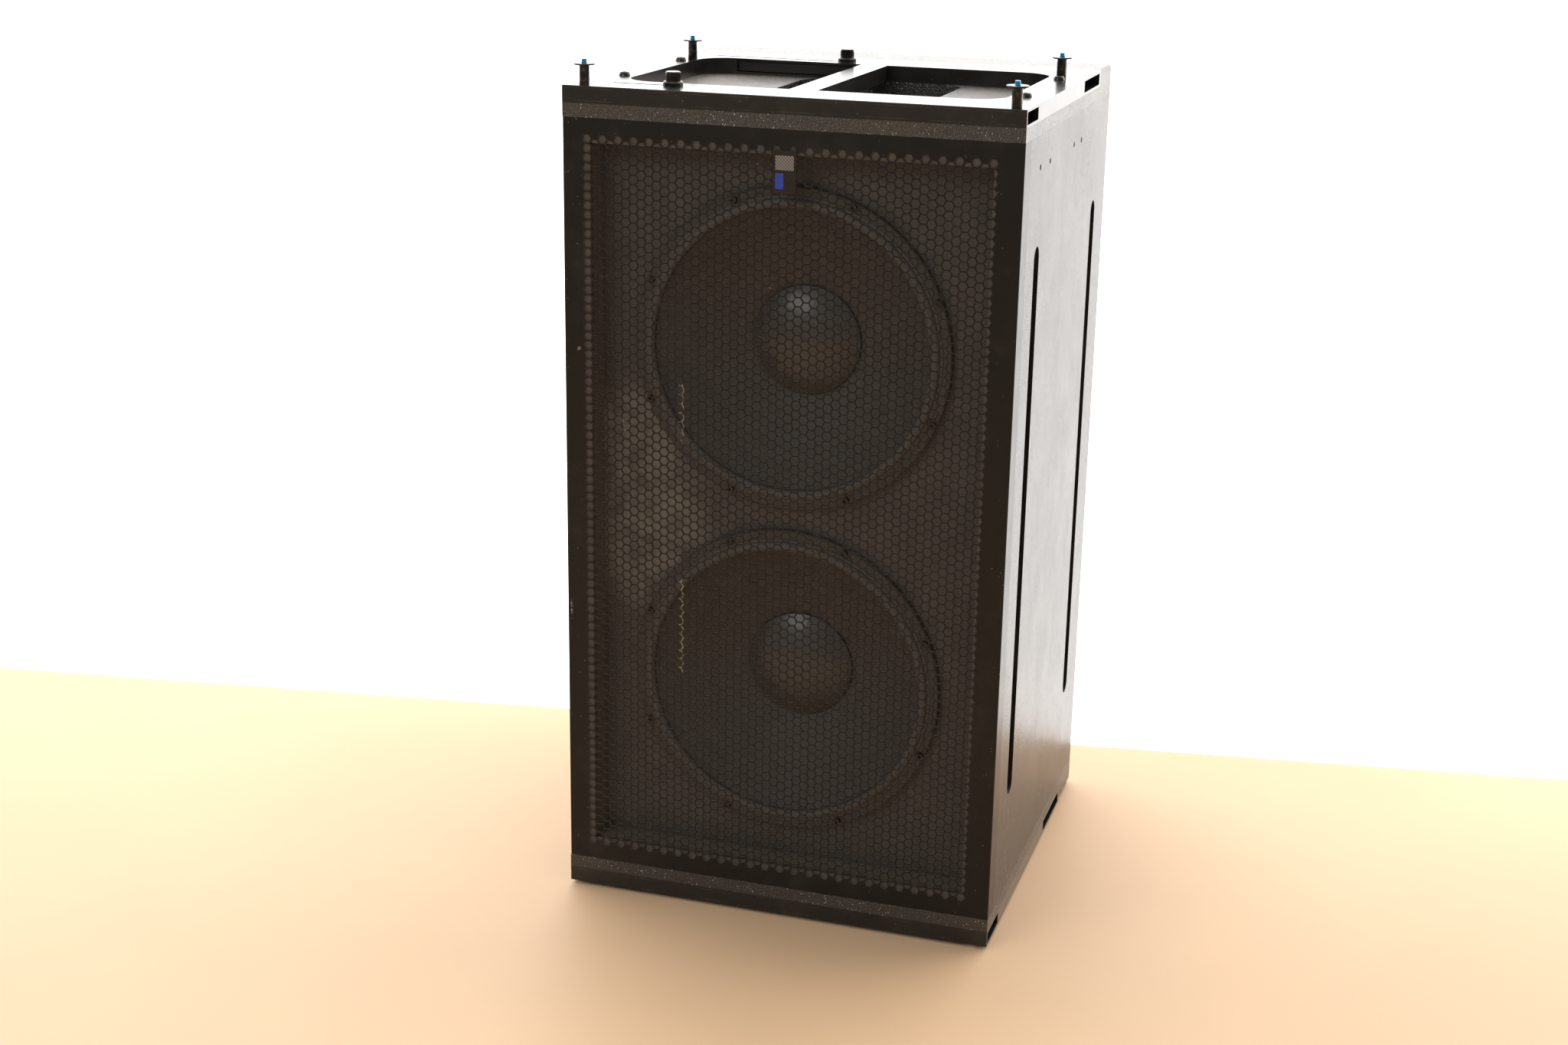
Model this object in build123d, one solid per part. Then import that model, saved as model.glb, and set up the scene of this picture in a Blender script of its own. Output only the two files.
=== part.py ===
from build123d import *

from math import asin, cos, sin
import os

# Touring subwoofer cabinet, stood on its end. Millimetres.
# Every piece is drawn from the cabinet's lower front left corner: x to the right, y to the back,
# z up from the underside of the lower frame. write() then moves it so that the origin lies under
# the middle of the whole part, on the ground.

# Cabinet
WIDTH = 546.0
DEPTH = 542.0
HEIGHT = 1010.0
PLY = 16.0
EDGE_ROUND = 10.0
BAFFLE_FRONT = 40.0
BAFFLE_THICK = 18.0
MID_X = WIDTH / 2
MID_Z = HEIGHT / 2

# Rigging frame: base plate, core bars and cover plate, one frame on each end
FRAME_DEPTH = 456.0
SKIN = 3.0
CORE = 14.0
FRAME_THICK = CORE + 2 * SKIN
FRAME_LOW = HEIGHT - FRAME_THICK
COVER_LOW = HEIGHT - SKIN
CORE_LOW = FRAME_LOW + SKIN
WINDOW_FRONT = 75.0
WINDOW_BACK = 384.0
WINDOW_LEFT = 43.0
BAR_LEFT = 251.0
BAR_RIGHT = 285.0
WINDOW_RIGHT = 501.0
WINDOW_ROUND = 40.0
FRONT_SLOT_BACK = 62.0
FRONT_CHANNEL_END = 160.0
FRONT_POCKET_START = 490.0
WALL = 3.0
REAR_POCKET_FRONT = 344.0
REAR_POCKET_BACK = 447.0
REAR_RAIL_FRONT = 430.0
REAR_CHANNEL_END = 340.0
REAR_END_BAR = 50.0
LINK_VIEW_START = 58.0
HEAD_CLEARANCE = 4.0
PIN_BOSS_HALF = 12.0
PIN_BOSS_BACK = 8.0

# Sliding links and their knobs
LINK_THICK = 12.0
LINK_INSET = 2.0
LINK_GAP = 0.8
FRONT_LINK_END = 150.0
FRONT_LINK_FRONT = 20.5
FRONT_TRAVEL = 72.0
FRONT_KNOB = (119.0, 48.0)
REAR_LINK_END = 330.0
REAR_HEAD_END = 39.0
REAR_TRAVEL = 175.0
REAR_KNOB = (225.0, 406.0)
STUD_R = 2.5
SLOT_R = 2.8
KNOB_R = 8.85
KNOB_HIGH = 11.0
COLLAR_R = 11.8
COLLAR_HIGH = 5.0
KNOB_LIFT = 0.3
GUIDE_HEAD_R = 6.5
GUIDE_HEAD_HIGH = 2.4
GUIDE_SOCKET_R = 1.8
LINK_ROUND = 8.0
LINK_PIN_X = 20.0
FRONT_LINK_SECOND_X = 58.0
FRONT_LINK_PIN_INSET = 14.0
REAR_HEAD_INSET = 10.0
STUD_GAP = 0.05
STUD_SHORT = 1.0
KNURLS = 24
KNURL_R = 0.8
KNURL_OUT = 0.3
KNURL_LOW = 2.0
KNURL_TOP = 8.5
KNOB_BEVEL = 1.0
COLLAR_BEVEL = 1.5

# Quick-release pins
PIN_PLACES = {
    "front_left": (24.0, 10.0),
    "front_right": (532.0, 10.0),
    "rear_left": (35.0, 346.0),
    "rear_right": (516.0, 346.0),
}
PIN_R = 6.0
PIN_HOLE_R = 6.06
PIN_STANDS = 23.0
PIN_DEEP = 26.0
PIN_FLANGE_R = 12.6
PIN_FLANGE_THICK = 2.0
PIN_BORE_R = 3.6
SPINDLE_R = 2.2
SPINDLE_BORE_R = 2.3
SPINDLE_BORE_DEEP = 30.0
SPINDLE_LONG = 24.0
BUTTON_R = 3.2
BUTTON_STANDS = 5.0
BUTTON_DEEP = 6.0
BUTTON_SPARE = 4.0
PIN_TIP_BEVEL = 1.5
PIN_EDGE_ROUND = 0.8
PIN_SINK_GAP = 1.0
PIN_SINK_SPARE = 4.0

# Frame bolts: their domed heads are the feet of the lower end
BOLT_PLACES = [(28.0, 126.0), (28.0, 321.0), (518.0, 126.0), (518.0, 321.0)]
BOLT_HEAD_R = 7.0
BOLT_HEAD_HIGH = 4.4
BOLT_FLAT_R = 4.6
BOLT_SOCKET_R = 2.9
BOLT_SOCKET_DEEP = 2.6
BOLT_R = 4.0
BOLT_HOLE_R = 4.2
BOLT_LONG = 34.0
COVER_SCREWS = [
    (24.0, 68.0),
    (178.0, 33.0),
    (437.0, 24.0),
    (268.0, 139.0),
    (268.0, 325.0),
    (20.0, 451.5),
    (175.0, 441.0),
    (370.0, 428.0),
    (513.0, 451.5),
]
COVER_SCREW_R = 2.0
COVER_SCREW_HEAD_R = 3.8
COVER_SCREW_LONG = 12.0
COVER_SOCKET_R = 1.5
COVER_SOCKET_DEEP = 1.6
COVER_BEVEL = 0.8

# Hand cup under the carrying bar
CUP_X = 284.0
CUP_Y = 302.0
CUP_WIDE = 208.0
CUP_LONG = 160.0
CUP_ROUND = 34.0
CUP_DEEP = 58.0
CUP_WALL = 4.0
CUP_TAPER = 14.0
CUP_LIP = 18.0

# Grille and badge
SHEET = 2.0
GRILLE_RETURN = 32.0
GRILLE_LOW = FRAME_THICK + PLY
GRILLE_HIGH = HEIGHT - FRAME_THICK - PLY
BADGE_X = 271.5
BADGE_TOP = 950.5
BADGE_WIDE = 28.0
BADGE_TALL = 49.0
BADGE_THICK = 1.2
BADGE_ROUND = 1.5
SIDE_BATTEN_WIDE = 18.0
END_BATTEN_TALL = 29.0

# Skid grooves on the right side, skids on the left side
SKID_Y = (93.0, 452.0)
GROOVE_WIDE = 28.0
GROOVE_LONG = 680.0
GROOVE_DEEP = 10.0
SKID_WIDE = 25.0
SKID_LONG = 674.0
SKID_STANDS = 8.0
SIDE_SCREW_Y = (90.0, 146.0, 294.0, 342.0)
SIDE_SCREW_Z = 936.0
SIDE_SCREW_R = 3.5
SIDE_SCREW_SUNK = 1.0
SIDE_SCREW_HEAD = 2.4
SIDE_SCREW_SHANK_R = 2.0
SIDE_SCREW_LONG = 12.0
CROSS_LONG = 4.0
CROSS_WIDE = 0.8
SKID_BEVEL = 2.0

# Shelf between the drivers
BRACE_Y = (170.0, 390.0)
BRACE_HOLE_WIDE = 380.0
BRACE_HOLE_LONG = 130.0
BRACE_HOLE_ROUND = 40.0

# Drivers, 15 inch
DRIVER_Z = {"lower": 298.0, "upper": 712.0}
DRIVER_FLANGE_R = 193.5
DRIVER_CUTOUT_R = 178.0
DRIVER_BOLT_CIRCLE_R = 188.5
DRIVER_BOLT_R = 2.5
DRIVER_BOLT_HEAD_R = 4.2
DRIVER_BOLT_HEAD = 5.0
DRIVER_BOLT_SOCKET = 3.0
DRIVER_BOLT_END = BAFFLE_FRONT + BAFFLE_THICK - 3.0
DRIVER_BOLTS = 8
HALF_STEP = 22.5
CONE_R = 168.0
CAP_R = 66.0
COIL_R = 51.5
FLEX_GAP = 0.3
FLANGE_FRONT = 30.0
FLANGE_BEVEL = 1.5
BASKET_MOUTH_R = 172.0
BASKET_NECK_R = 116.0
BASKET_SEAT_R = 58.0
BASKET_FLOOR = 8.0
BASKET_WINDOWS = 8
ROLL_WIDE = 12.0
ROLL_RISE = 7.0
ROLL_THICK = 1.4
LIP_R = 183.0
CONE_BACK = 108.0
CONE_THICK = 1.6
CONE_MID_R = 108.0
CONE_MID_Y = 76.0
CAP_Y = 97.0
CAP_RISE = 20.0
CAP_THICK = 1.0
SPIDER_R = 112.0
LANDING_Y = 136.0
SPIDER_THICK = 0.8
SPIDER_WAVE = 2.5
SPIDER_WAVES = 5
COIL_THICK = 0.6
COIL_BACK = 172.0
COIL_WIND = 26.0
COIL_WIRE = 0.8
GAP_OUTER_R = COIL_R + 2.2
POLE_R = COIL_R - 2.4
MOTOR_R = 105.0
MOTOR_FRONT = 150.0
TOP_PLATE = 10.0
MAGNET_THICK = 30.0
MAGNET_WIDE = 44.0
PLATE_INSET = 8.0
VENT_R = 15.0
PORT_X = (62.0, WIDTH - 62.0)
PORT_WIDE = 60.0
PORT_TALL = 170.0
PORT_WALL = 4.0
PORT_LONG = 104.0

# Rear amplifier
AMP_WIDE = 320.0
AMP_TALL = 430.0
AMP_Z = 505.0
AMP_LIP = 12.0
AMP_PLATE = 6.0
FIN_PITCH = 14.0
FIN_THICK = 3.0
FIN_MARGIN = 22.0
FIN_START = 60.0
FIN_BACK = DEPTH - 2.0
SOCKET_Z = AMP_Z - AMP_TALL / 2 + 60
SOCKET_STANDS = 2.0
SOCKET_FLOOR = 8.0
SIGNAL_DEEP = 14.0
SIGNAL_WALL = 3.5
MAINS_DEEP = 16.0
MAINS_WALL = 3.0
SOCKETS = ((-110.0, 12.0), (-70.0, 12.0), (100.0, 16.0))
BOARD_HALF = 140.0
BOARD_Z = (AMP_Z - 90.0, AMP_Z + 190.0)
BOARD_OFF = 14.0
BOARD_THICK = 2.0
SPACER_R = 4.0
SPACER_INSET = 10.0
BITE = 0.5
CAPACITORS = 4
CAPACITOR_R = 17.0
CAPACITOR_PITCH = 60.0
CAPACITOR_LONG = 50.0
CAPACITOR_Z = AMP_Z + 120.0
RING_PLACE = (MID_X - 60.0, AMP_Z - 10.0)
RING_R = 58.0
RING_HOLE_R = 18.0
RING_LONG = 50.0
RING_OFF = 24.0
RING_ROUND = 6.0

# Where the corner of the cabinet lies in the finished part
PIN_OVERHANG = PIN_FLANGE_R - PIN_PLACES["front_left"][1]
TO_ORIGIN = Pos(-(WIDTH - SKID_STANDS) / 2, -(DEPTH - PIN_OVERHANG) / 2, BOLT_HEAD_HIGH)


def block(x0, x1, y0, y1, z0, z1):
    """Box between two corners."""
    return Pos((x0 + x1) / 2, (y0 + y1) / 2, (z0 + z1) / 2) * Box(x1 - x0, y1 - y0, z1 - z0)


def post(x, y, radius, z0, z1):
    """Upright cylinder from z0 to z1."""
    return Pos(x, y, (z0 + z1) / 2) * Cylinder(radius, z1 - z0)


def rod(x, z, radius, y0, y1):
    """Cylinder along y from y0 to y1."""
    return Pos(x, (y0 + y1) / 2, z) * Rot(90, 0, 0) * Cylinder(radius, y1 - y0)


def turned(points, x, z):
    """Solid turned about a line along y, from corner points given as (radius, y)."""
    return Pos(x, 0, z) * revolve(make_face(Polyline(*points, close=True)), Axis.Y)


def lower(piece):
    """The same piece on the lower end: a mirror image about the cabinet's middle height."""
    return mirror(piece, about=Plane.XY.offset(MID_Z))


def write(name, *pieces):
    """Write one sub-part, of one or more separate solids."""
    placed = [TO_ORIGIN * solid for piece in pieces for solid in piece.solids()]
    shape = placed[0] if len(placed) == 1 else Compound(children=placed)
    export_step(shape, f"parts/{name}.step")


# Wooden cabinet -------------------------------------------------------------------------------


def end_panel():
    """Top end panel: a slab under the frame that rises to full height behind it."""
    slab = block(0, WIDTH, 0, DEPTH, FRAME_LOW - PLY, FRAME_LOW)
    step = block(0, WIDTH, FRAME_DEPTH, DEPTH, FRAME_LOW, HEIGHT)
    panel = slab + step
    uprights = panel.edges().filter_by(Axis.Z).group_by(Axis.Y)[-1]
    panel = fillet(uprights, EDGE_ROUND)
    rim = [e for e in panel.edges() if abs(e.center().Z - HEIGHT) < 0.01 and e.center().Y > FRAME_DEPTH + 1]
    panel = fillet(rim, EDGE_ROUND / 2)
    opening = Pos(CUP_X, CUP_Y, 0) * RectangleRounded(CUP_WIDE, CUP_LONG, CUP_ROUND)
    panel -= Pos(0, 0, FRAME_LOW - PLY) * extrude(opening, PLY)
    for x, y in PIN_PLACES.values():
        panel -= post(x, y, PIN_R + PIN_SINK_GAP, HEIGHT - PIN_DEEP - PIN_SINK_SPARE, FRAME_LOW)
    for x, y in BOLT_PLACES:
        panel -= post(x, y, BOLT_HOLE_R, FRAME_LOW - PLY, FRAME_LOW)
    return panel


def hand_cup():
    """Dish under the end panel's opening, with a lip glued to the panel."""
    outline = RectangleRounded(CUP_WIDE, CUP_LONG, CUP_ROUND)
    inside = extrude(outline, -CUP_DEEP, taper=CUP_TAPER)
    inside = fillet(inside.edges().group_by(Axis.Z)[0], CUP_ROUND / 2)
    outer = RectangleRounded(CUP_WIDE + 2 * CUP_WALL, CUP_LONG + 2 * CUP_WALL, CUP_ROUND + CUP_WALL)
    dish = extrude(outer, -CUP_DEEP - CUP_WALL, taper=CUP_TAPER)
    dish = fillet(dish.edges().group_by(Axis.Z)[0], CUP_ROUND / 2 + CUP_WALL)
    lip = RectangleRounded(CUP_WIDE + 2 * CUP_LIP, CUP_LONG + 2 * CUP_LIP, CUP_ROUND + CUP_LIP)
    dish += extrude(lip, -CUP_WALL)
    return Pos(CUP_X, CUP_Y, FRAME_LOW - PLY) * (dish - inside)


def side_panel(x0, x1, outer_x):
    """Side wall between the end panels, its rear corner rounded and its front rebated for the grille."""
    panel = block(x0, x1, SHEET, DEPTH, GRILLE_LOW, GRILLE_HIGH)
    corner = [e for e in panel.edges().filter_by(Axis.Z) if abs(e.center().X - outer_x) < 0.01]
    corner = max(corner, key=lambda edge: edge.center().Y)
    panel = fillet(corner, EDGE_ROUND)
    rebate = block(outer_x - SHEET, outer_x + SHEET, 0, GRILLE_RETURN, GRILLE_LOW, GRILLE_HIGH)
    return panel - rebate


def grooved_side_panel():
    """Right side wall, with the two long grooves and the four screw sinks."""
    panel = side_panel(WIDTH - PLY, WIDTH, WIDTH)
    for y in SKID_Y:
        groove = extrude(Rot(0, 90, 0) * SlotOverall(GROOVE_LONG, GROOVE_WIDE), GROOVE_DEEP)
        panel -= Pos(WIDTH - GROOVE_DEEP, y, MID_Z) * groove
    for y in SIDE_SCREW_Y:
        panel -= cross_rod(y, SIDE_SCREW_R, WIDTH - SIDE_SCREW_LONG, WIDTH + SIDE_SCREW_LONG)
    return panel


def front_baffle():
    """Driver panel with two round openings."""
    panel = block(PLY, WIDTH - PLY, BAFFLE_FRONT, BAFFLE_FRONT + BAFFLE_THICK, GRILLE_LOW, GRILLE_HIGH)
    for z in DRIVER_Z.values():
        panel -= rod(MID_X, z, DRIVER_CUTOUT_R, 0, DEPTH)
        for x, dz in driver_bolt_places():
            panel -= rod(MID_X + x, z + dz, DRIVER_BOLT_R, 0, DRIVER_BOLT_END)
    return panel


def port_prism(x, wide, tall, y0, y1):
    """Round-cornered bar of port section from y0 to y1."""
    section = Plane.XZ * RectangleRounded(wide, tall, wide / 2 - 1)
    return Pos(x, y0, MID_Z) * extrude(section, -(y1 - y0))


def bass_port(x):
    """Duct glued to the front of the back wall."""
    start = DEPTH - PLY - PORT_LONG
    outer = port_prism(x, PORT_WIDE + 2 * PORT_WALL, PORT_TALL + 2 * PORT_WALL, start, start + PORT_LONG)
    return outer - port_prism(x, PORT_WIDE, PORT_TALL, start, start + PORT_LONG)


def centre_brace():
    """Shelf between the drivers that ties the side walls together."""
    y0, y1 = BRACE_Y
    low = MID_Z - PLY / 2
    shelf = block(PLY, WIDTH - PLY, y0, y1, low, low + PLY)
    opening = RectangleRounded(BRACE_HOLE_WIDE, BRACE_HOLE_LONG, BRACE_HOLE_ROUND)
    return shelf - Pos(MID_X, (y0 + y1) / 2, low) * extrude(opening, PLY)


def rear_panel():
    """Back wall with the amplifier's opening and two port slots."""
    left, right = MID_X - AMP_WIDE / 2, MID_X + AMP_WIDE / 2
    low, high = AMP_Z - AMP_TALL / 2, AMP_Z + AMP_TALL / 2
    panel = block(PLY, WIDTH - PLY, DEPTH - PLY, DEPTH, GRILLE_LOW, GRILLE_HIGH)
    panel -= block(left, right, DEPTH - PLY, DEPTH, low, high)
    for x in PORT_X:
        panel -= port_prism(x, PORT_WIDE, PORT_TALL, DEPTH - PLY, DEPTH)
    return panel


def skid(y):
    """Runner on the left side wall: a long bar with round ends, bevelled all round."""
    bar = extrude(Rot(0, 90, 0) * SlotOverall(SKID_LONG, SKID_WIDE), SKID_STANDS)
    bar = chamfer(bar.edges().group_by(Axis.X)[-1], SKID_BEVEL)
    return Pos(0, y, MID_Z) * Rot(0, 0, 180) * bar


def cross_rod(y, radius, x0, x1):
    """Cylinder along x from x0 to x1, at the height of the side screws."""
    return Pos((x0 + x1) / 2, y, SIDE_SCREW_Z) * Rot(0, 90, 0) * Cylinder(radius, x1 - x0)


def side_screw(y):
    """Countersunk screw in the right side wall, its head just under the surface."""
    face = WIDTH - SIDE_SCREW_SUNK
    under = face - SIDE_SCREW_HEAD
    head = cross_rod(y, SIDE_SCREW_R, under, face)
    shank = cross_rod(y, SIDE_SCREW_SHANK_R, WIDTH - SIDE_SCREW_LONG, under)
    flat = Box(2 * CROSS_WIDE, CROSS_LONG, CROSS_WIDE) + Box(2 * CROSS_WIDE, CROSS_WIDE, CROSS_LONG)
    return head + shank - Pos(face, y, SIDE_SCREW_Z) * flat


# Rigging frame --------------------------------------------------------------------------------


def window_face(x0, x1, round_left):
    """Window outline: large corners on the outer side, square corners beside the carrying bar."""
    wide, long = x1 - x0, WINDOW_BACK - WINDOW_FRONT
    face = Pos((x0 + x1) / 2, (WINDOW_FRONT + WINDOW_BACK) / 2) * Rectangle(wide, long)
    outer = face.vertices().group_by(Axis.X)[0 if round_left else -1]
    return fillet(outer, WINDOW_ROUND)


def frame_plate(z0):
    """Flat plate of the frame with its two windows and all through holes."""
    plate = block(0, WIDTH, 0, FRAME_DEPTH, z0, z0 + SKIN)
    for face in (window_face(WINDOW_LEFT, BAR_LEFT, True), window_face(BAR_RIGHT, WINDOW_RIGHT, False)):
        plate -= Pos(0, 0, z0) * extrude(face, SKIN)
    for x, y in PIN_PLACES.values():
        plate -= post(x, y, PIN_HOLE_R, z0, z0 + SKIN)
    for x, y in BOLT_PLACES:
        plate -= post(x, y, BOLT_HOLE_R, z0, z0 + SKIN)
    return plate


def knob_slot(knob, travel):
    """Slot in the cover plate that a knob's stud runs in."""
    x, y = knob
    slot = SlotCenterToCenter(travel, 2 * SLOT_R)
    return Pos(x - travel / 2, y, COVER_LOW) * extrude(slot, SKIN)


def cover_plate():
    """Outer plate, with the knob slots and countersunk screw holes."""
    plate = frame_plate(COVER_LOW)
    plate = chamfer(plate.edges().group_by(Axis.Z)[-1].group_by(Axis.Y)[0], COVER_BEVEL)
    plate -= knob_slot(FRONT_KNOB, FRONT_TRAVEL)
    plate -= knob_slot(REAR_KNOB, REAR_TRAVEL)
    for x, y in COVER_SCREWS:
        plate -= Pos(x, y, HEIGHT - SKIN / 2) * Cone(COVER_SCREW_R, COVER_SCREW_HEAD_R, SKIN)
    return plate


def corner_web(x, y, to_x, to_y):
    """Filling of a window's outer corner up to its round."""
    low_x, high_x = sorted((x, x + to_x * WINDOW_ROUND))
    low_y, high_y = sorted((y, y + to_y * WINDOW_ROUND))
    web = block(low_x, high_x, low_y, high_y, CORE_LOW, COVER_LOW)
    return web - post(x + to_x * WINDOW_ROUND, y + to_y * WINDOW_ROUND, WINDOW_ROUND, CORE_LOW, COVER_LOW)


def core_bars():
    """Bars between the two plates: they leave the link channels and the neighbour's pockets open."""
    head_front = REAR_POCKET_FRONT - HEAD_CLEARANCE
    plan = [
        (FRONT_CHANNEL_END, FRONT_POCKET_START, 0, WINDOW_FRONT),
        (0, FRONT_CHANNEL_END, FRONT_SLOT_BACK, WINDOW_FRONT),
        (FRONT_POCKET_START, WIDTH, FRONT_SLOT_BACK, WINDOW_FRONT),
        (0, FRONT_CHANNEL_END, 0, WALL),
        (FRONT_POCKET_START, WIDTH, 0, WALL),
        (0, WINDOW_LEFT, WINDOW_FRONT, head_front),
        (WINDOW_LEFT - WALL, WINDOW_LEFT, head_front, WINDOW_BACK),
        (WINDOW_RIGHT, WIDTH, WINDOW_FRONT, REAR_POCKET_FRONT),
        (WINDOW_RIGHT, WINDOW_RIGHT + WALL, REAR_POCKET_FRONT, WINDOW_BACK),
        (BAR_LEFT, BAR_RIGHT, WINDOW_FRONT, WINDOW_BACK),
        (WINDOW_LEFT - WALL, LINK_VIEW_START, WINDOW_BACK, WINDOW_BACK + WALL),
        (BAR_LEFT, WINDOW_RIGHT + WALL, WINDOW_BACK, WINDOW_BACK + WALL),
        (REAR_CHANNEL_END, FRONT_POCKET_START, WINDOW_BACK + WALL, FRAME_DEPTH),
        (REAR_END_BAR, REAR_CHANNEL_END, REAR_RAIL_FRONT, FRAME_DEPTH),
        (0, REAR_END_BAR, REAR_POCKET_BACK, FRAME_DEPTH),
        (FRONT_POCKET_START, WIDTH, REAR_POCKET_BACK, FRAME_DEPTH),
    ]
    bars = [block(*bar, CORE_LOW, COVER_LOW) for bar in plan]
    bars += [
        corner_web(WINDOW_LEFT, WINDOW_FRONT, 1, 1),
        corner_web(WINDOW_LEFT, WINDOW_BACK, 1, -1),
        corner_web(WINDOW_RIGHT, WINDOW_FRONT, -1, 1),
        corner_web(WINDOW_RIGHT, WINDOW_BACK, -1, -1),
    ]
    boss_x, boss_y = PIN_PLACES["front_left"]
    left, right = boss_x - PIN_BOSS_HALF, boss_x + PIN_BOSS_HALF
    bars.append(block(left, right, WALL, boss_y + PIN_BOSS_BACK, CORE_LOW, COVER_LOW))
    holes = [post(x, y, PIN_HOLE_R, CORE_LOW, COVER_LOW) for x, y in PIN_PLACES.values()]
    holes += [post(x, y, BOLT_HOLE_R, CORE_LOW, COVER_LOW) for x, y in BOLT_PLACES]
    holes += [post(x, y, COVER_SCREW_R, HEIGHT - COVER_SCREW_LONG, COVER_LOW) for x, y in COVER_SCREWS]
    for hole in holes:
        box = hole.bounding_box()
        bars = [bar - hole if touches(bar.bounding_box(), box) else bar for bar in bars]
    return bars


def touches(first, second):
    """Whether two bounding boxes share space in plan."""
    along_x = first.min.X < second.max.X and second.min.X < first.max.X
    along_y = first.min.Y < second.max.Y and second.min.Y < first.max.Y
    return along_x and along_y


def frame_bolt(x, y):
    """Button-headed bolt with a hexagonal socket and a small flat on top of its dome."""
    profile = [
        (0, HEIGHT - BOLT_LONG),
        (BOLT_R, HEIGHT - BOLT_LONG),
        (BOLT_R, HEIGHT),
        (BOLT_HEAD_R, HEIGHT),
        (BOLT_HEAD_R - 0.5, HEIGHT + BOLT_HEAD_HIGH * 0.45),
        (BOLT_HEAD_R - 1.3, HEIGHT + BOLT_HEAD_HIGH * 0.8),
        (BOLT_FLAT_R, HEIGHT + BOLT_HEAD_HIGH),
        (0, HEIGHT + BOLT_HEAD_HIGH),
    ]
    face = Plane.XZ * make_face(Polyline(*profile, close=True))
    socket = extrude(RegularPolygon(BOLT_SOCKET_R, 6), BOLT_SOCKET_DEEP)
    floor = HEIGHT + BOLT_HEAD_HIGH - BOLT_SOCKET_DEEP
    return Pos(x, y, 0) * (revolve(face, Axis.Z) - Pos(0, 0, floor) * socket)


def cover_screw(x, y):
    """Flush countersunk screw of the cover plate."""
    head = Pos(x, y, HEIGHT - SKIN / 2) * Cone(COVER_SCREW_R, COVER_SCREW_HEAD_R, SKIN)
    hexagon = RegularPolygon(COVER_SOCKET_R, 6)
    socket = Pos(x, y, HEIGHT - COVER_SOCKET_DEEP) * extrude(hexagon, COVER_SOCKET_DEEP)
    return head + post(x, y, COVER_SCREW_R, HEIGHT - COVER_SCREW_LONG, COVER_LOW) - socket


# Links, knobs and pins ------------------------------------------------------------------------

LINK_LOW = CORE_LOW + (CORE - LINK_THICK) / 2
LINK_HIGH = LINK_LOW + LINK_THICK


def link_hole(x, y, radius):
    """Tool body of a hole through a link."""
    return post(x, y, radius, LINK_LOW, LINK_HIGH)


def front_link():
    """Flat bar that slides out of the left side, with two pin holes and the stud's hole."""
    back = FRONT_SLOT_BACK - LINK_GAP
    bar = block(LINK_INSET, FRONT_LINK_END, FRONT_LINK_FRONT, back, LINK_LOW, LINK_HIGH)
    bar = fillet(bar.edges().filter_by(Axis.Z).group_by(Axis.X)[0], LINK_ROUND)
    for x in (LINK_PIN_X, FRONT_LINK_SECOND_X):
        bar -= link_hole(x, FRONT_LINK_FRONT + FRONT_LINK_PIN_INSET, PIN_HOLE_R)
    return bar - link_hole(*FRONT_KNOB, STUD_R)


def rear_link():
    """Bar with a broad head that slides out of the left side, the head drilled for two pins."""
    head_y = (REAR_POCKET_FRONT + REAR_HEAD_INSET, REAR_POCKET_BACK - LINK_GAP)
    head = block(LINK_INSET, REAR_HEAD_END, *head_y, LINK_LOW, LINK_HIGH)
    head = fillet(head.edges().filter_by(Axis.Z).group_by(Axis.X)[0], LINK_ROUND)
    bar_y = (WINDOW_BACK + WALL + LINK_GAP, REAR_RAIL_FRONT - LINK_GAP)
    link = head + block(REAR_HEAD_END, REAR_LINK_END, *bar_y, LINK_LOW, LINK_HIGH)
    for y in (WINDOW_BACK, REAR_RAIL_FRONT):
        link -= link_hole(LINK_PIN_X, y, PIN_HOLE_R)
    return link - link_hole(*REAR_KNOB, STUD_R)


def knob(x, y):
    """Knurled thumb screw: grip, collar and a stud that runs through the slot into the link."""
    base = HEIGHT + KNOB_LIFT
    seat = base + COLLAR_HIGH
    grip = post(0, 0, KNOB_R, seat, seat + KNOB_HIGH)
    grip = chamfer(grip.edges().group_by(Axis.Z)[-1], KNOB_BEVEL)
    for turn in range(KNURLS):
        groove = post(KNOB_R + KNURL_OUT, 0, KNURL_R, seat + KNURL_LOW, seat + KNURL_TOP)
        grip -= Rot(0, 0, turn * 360 / KNURLS) * groove
    collar = post(0, 0, COLLAR_R, base, seat)
    collar = chamfer(collar.edges().group_by(Axis.Z)[-1], COLLAR_BEVEL)
    stud = post(0, 0, STUD_R - STUD_GAP, LINK_LOW + STUD_SHORT, base)
    return Pos(x, y, 0) * (grip + collar + stud)


def guide_screw(x, y):
    """Low-headed screw that guides a link of the lower frame: it clears the ground."""
    base = HEIGHT + KNOB_LIFT
    head = post(0, 0, GUIDE_HEAD_R, base, base + GUIDE_HEAD_HIGH)
    head = chamfer(head.edges().group_by(Axis.Z)[-1], GUIDE_HEAD_HIGH / 3)
    floor = base + GUIDE_HEAD_HIGH / 3
    socket = Pos(0, 0, floor) * extrude(RegularPolygon(GUIDE_SOCKET_R, 6), GUIDE_HEAD_HIGH)
    return Pos(x, y, 0) * (head + post(0, 0, STUD_R, LINK_LOW + STUD_SHORT, base) - socket)


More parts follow.
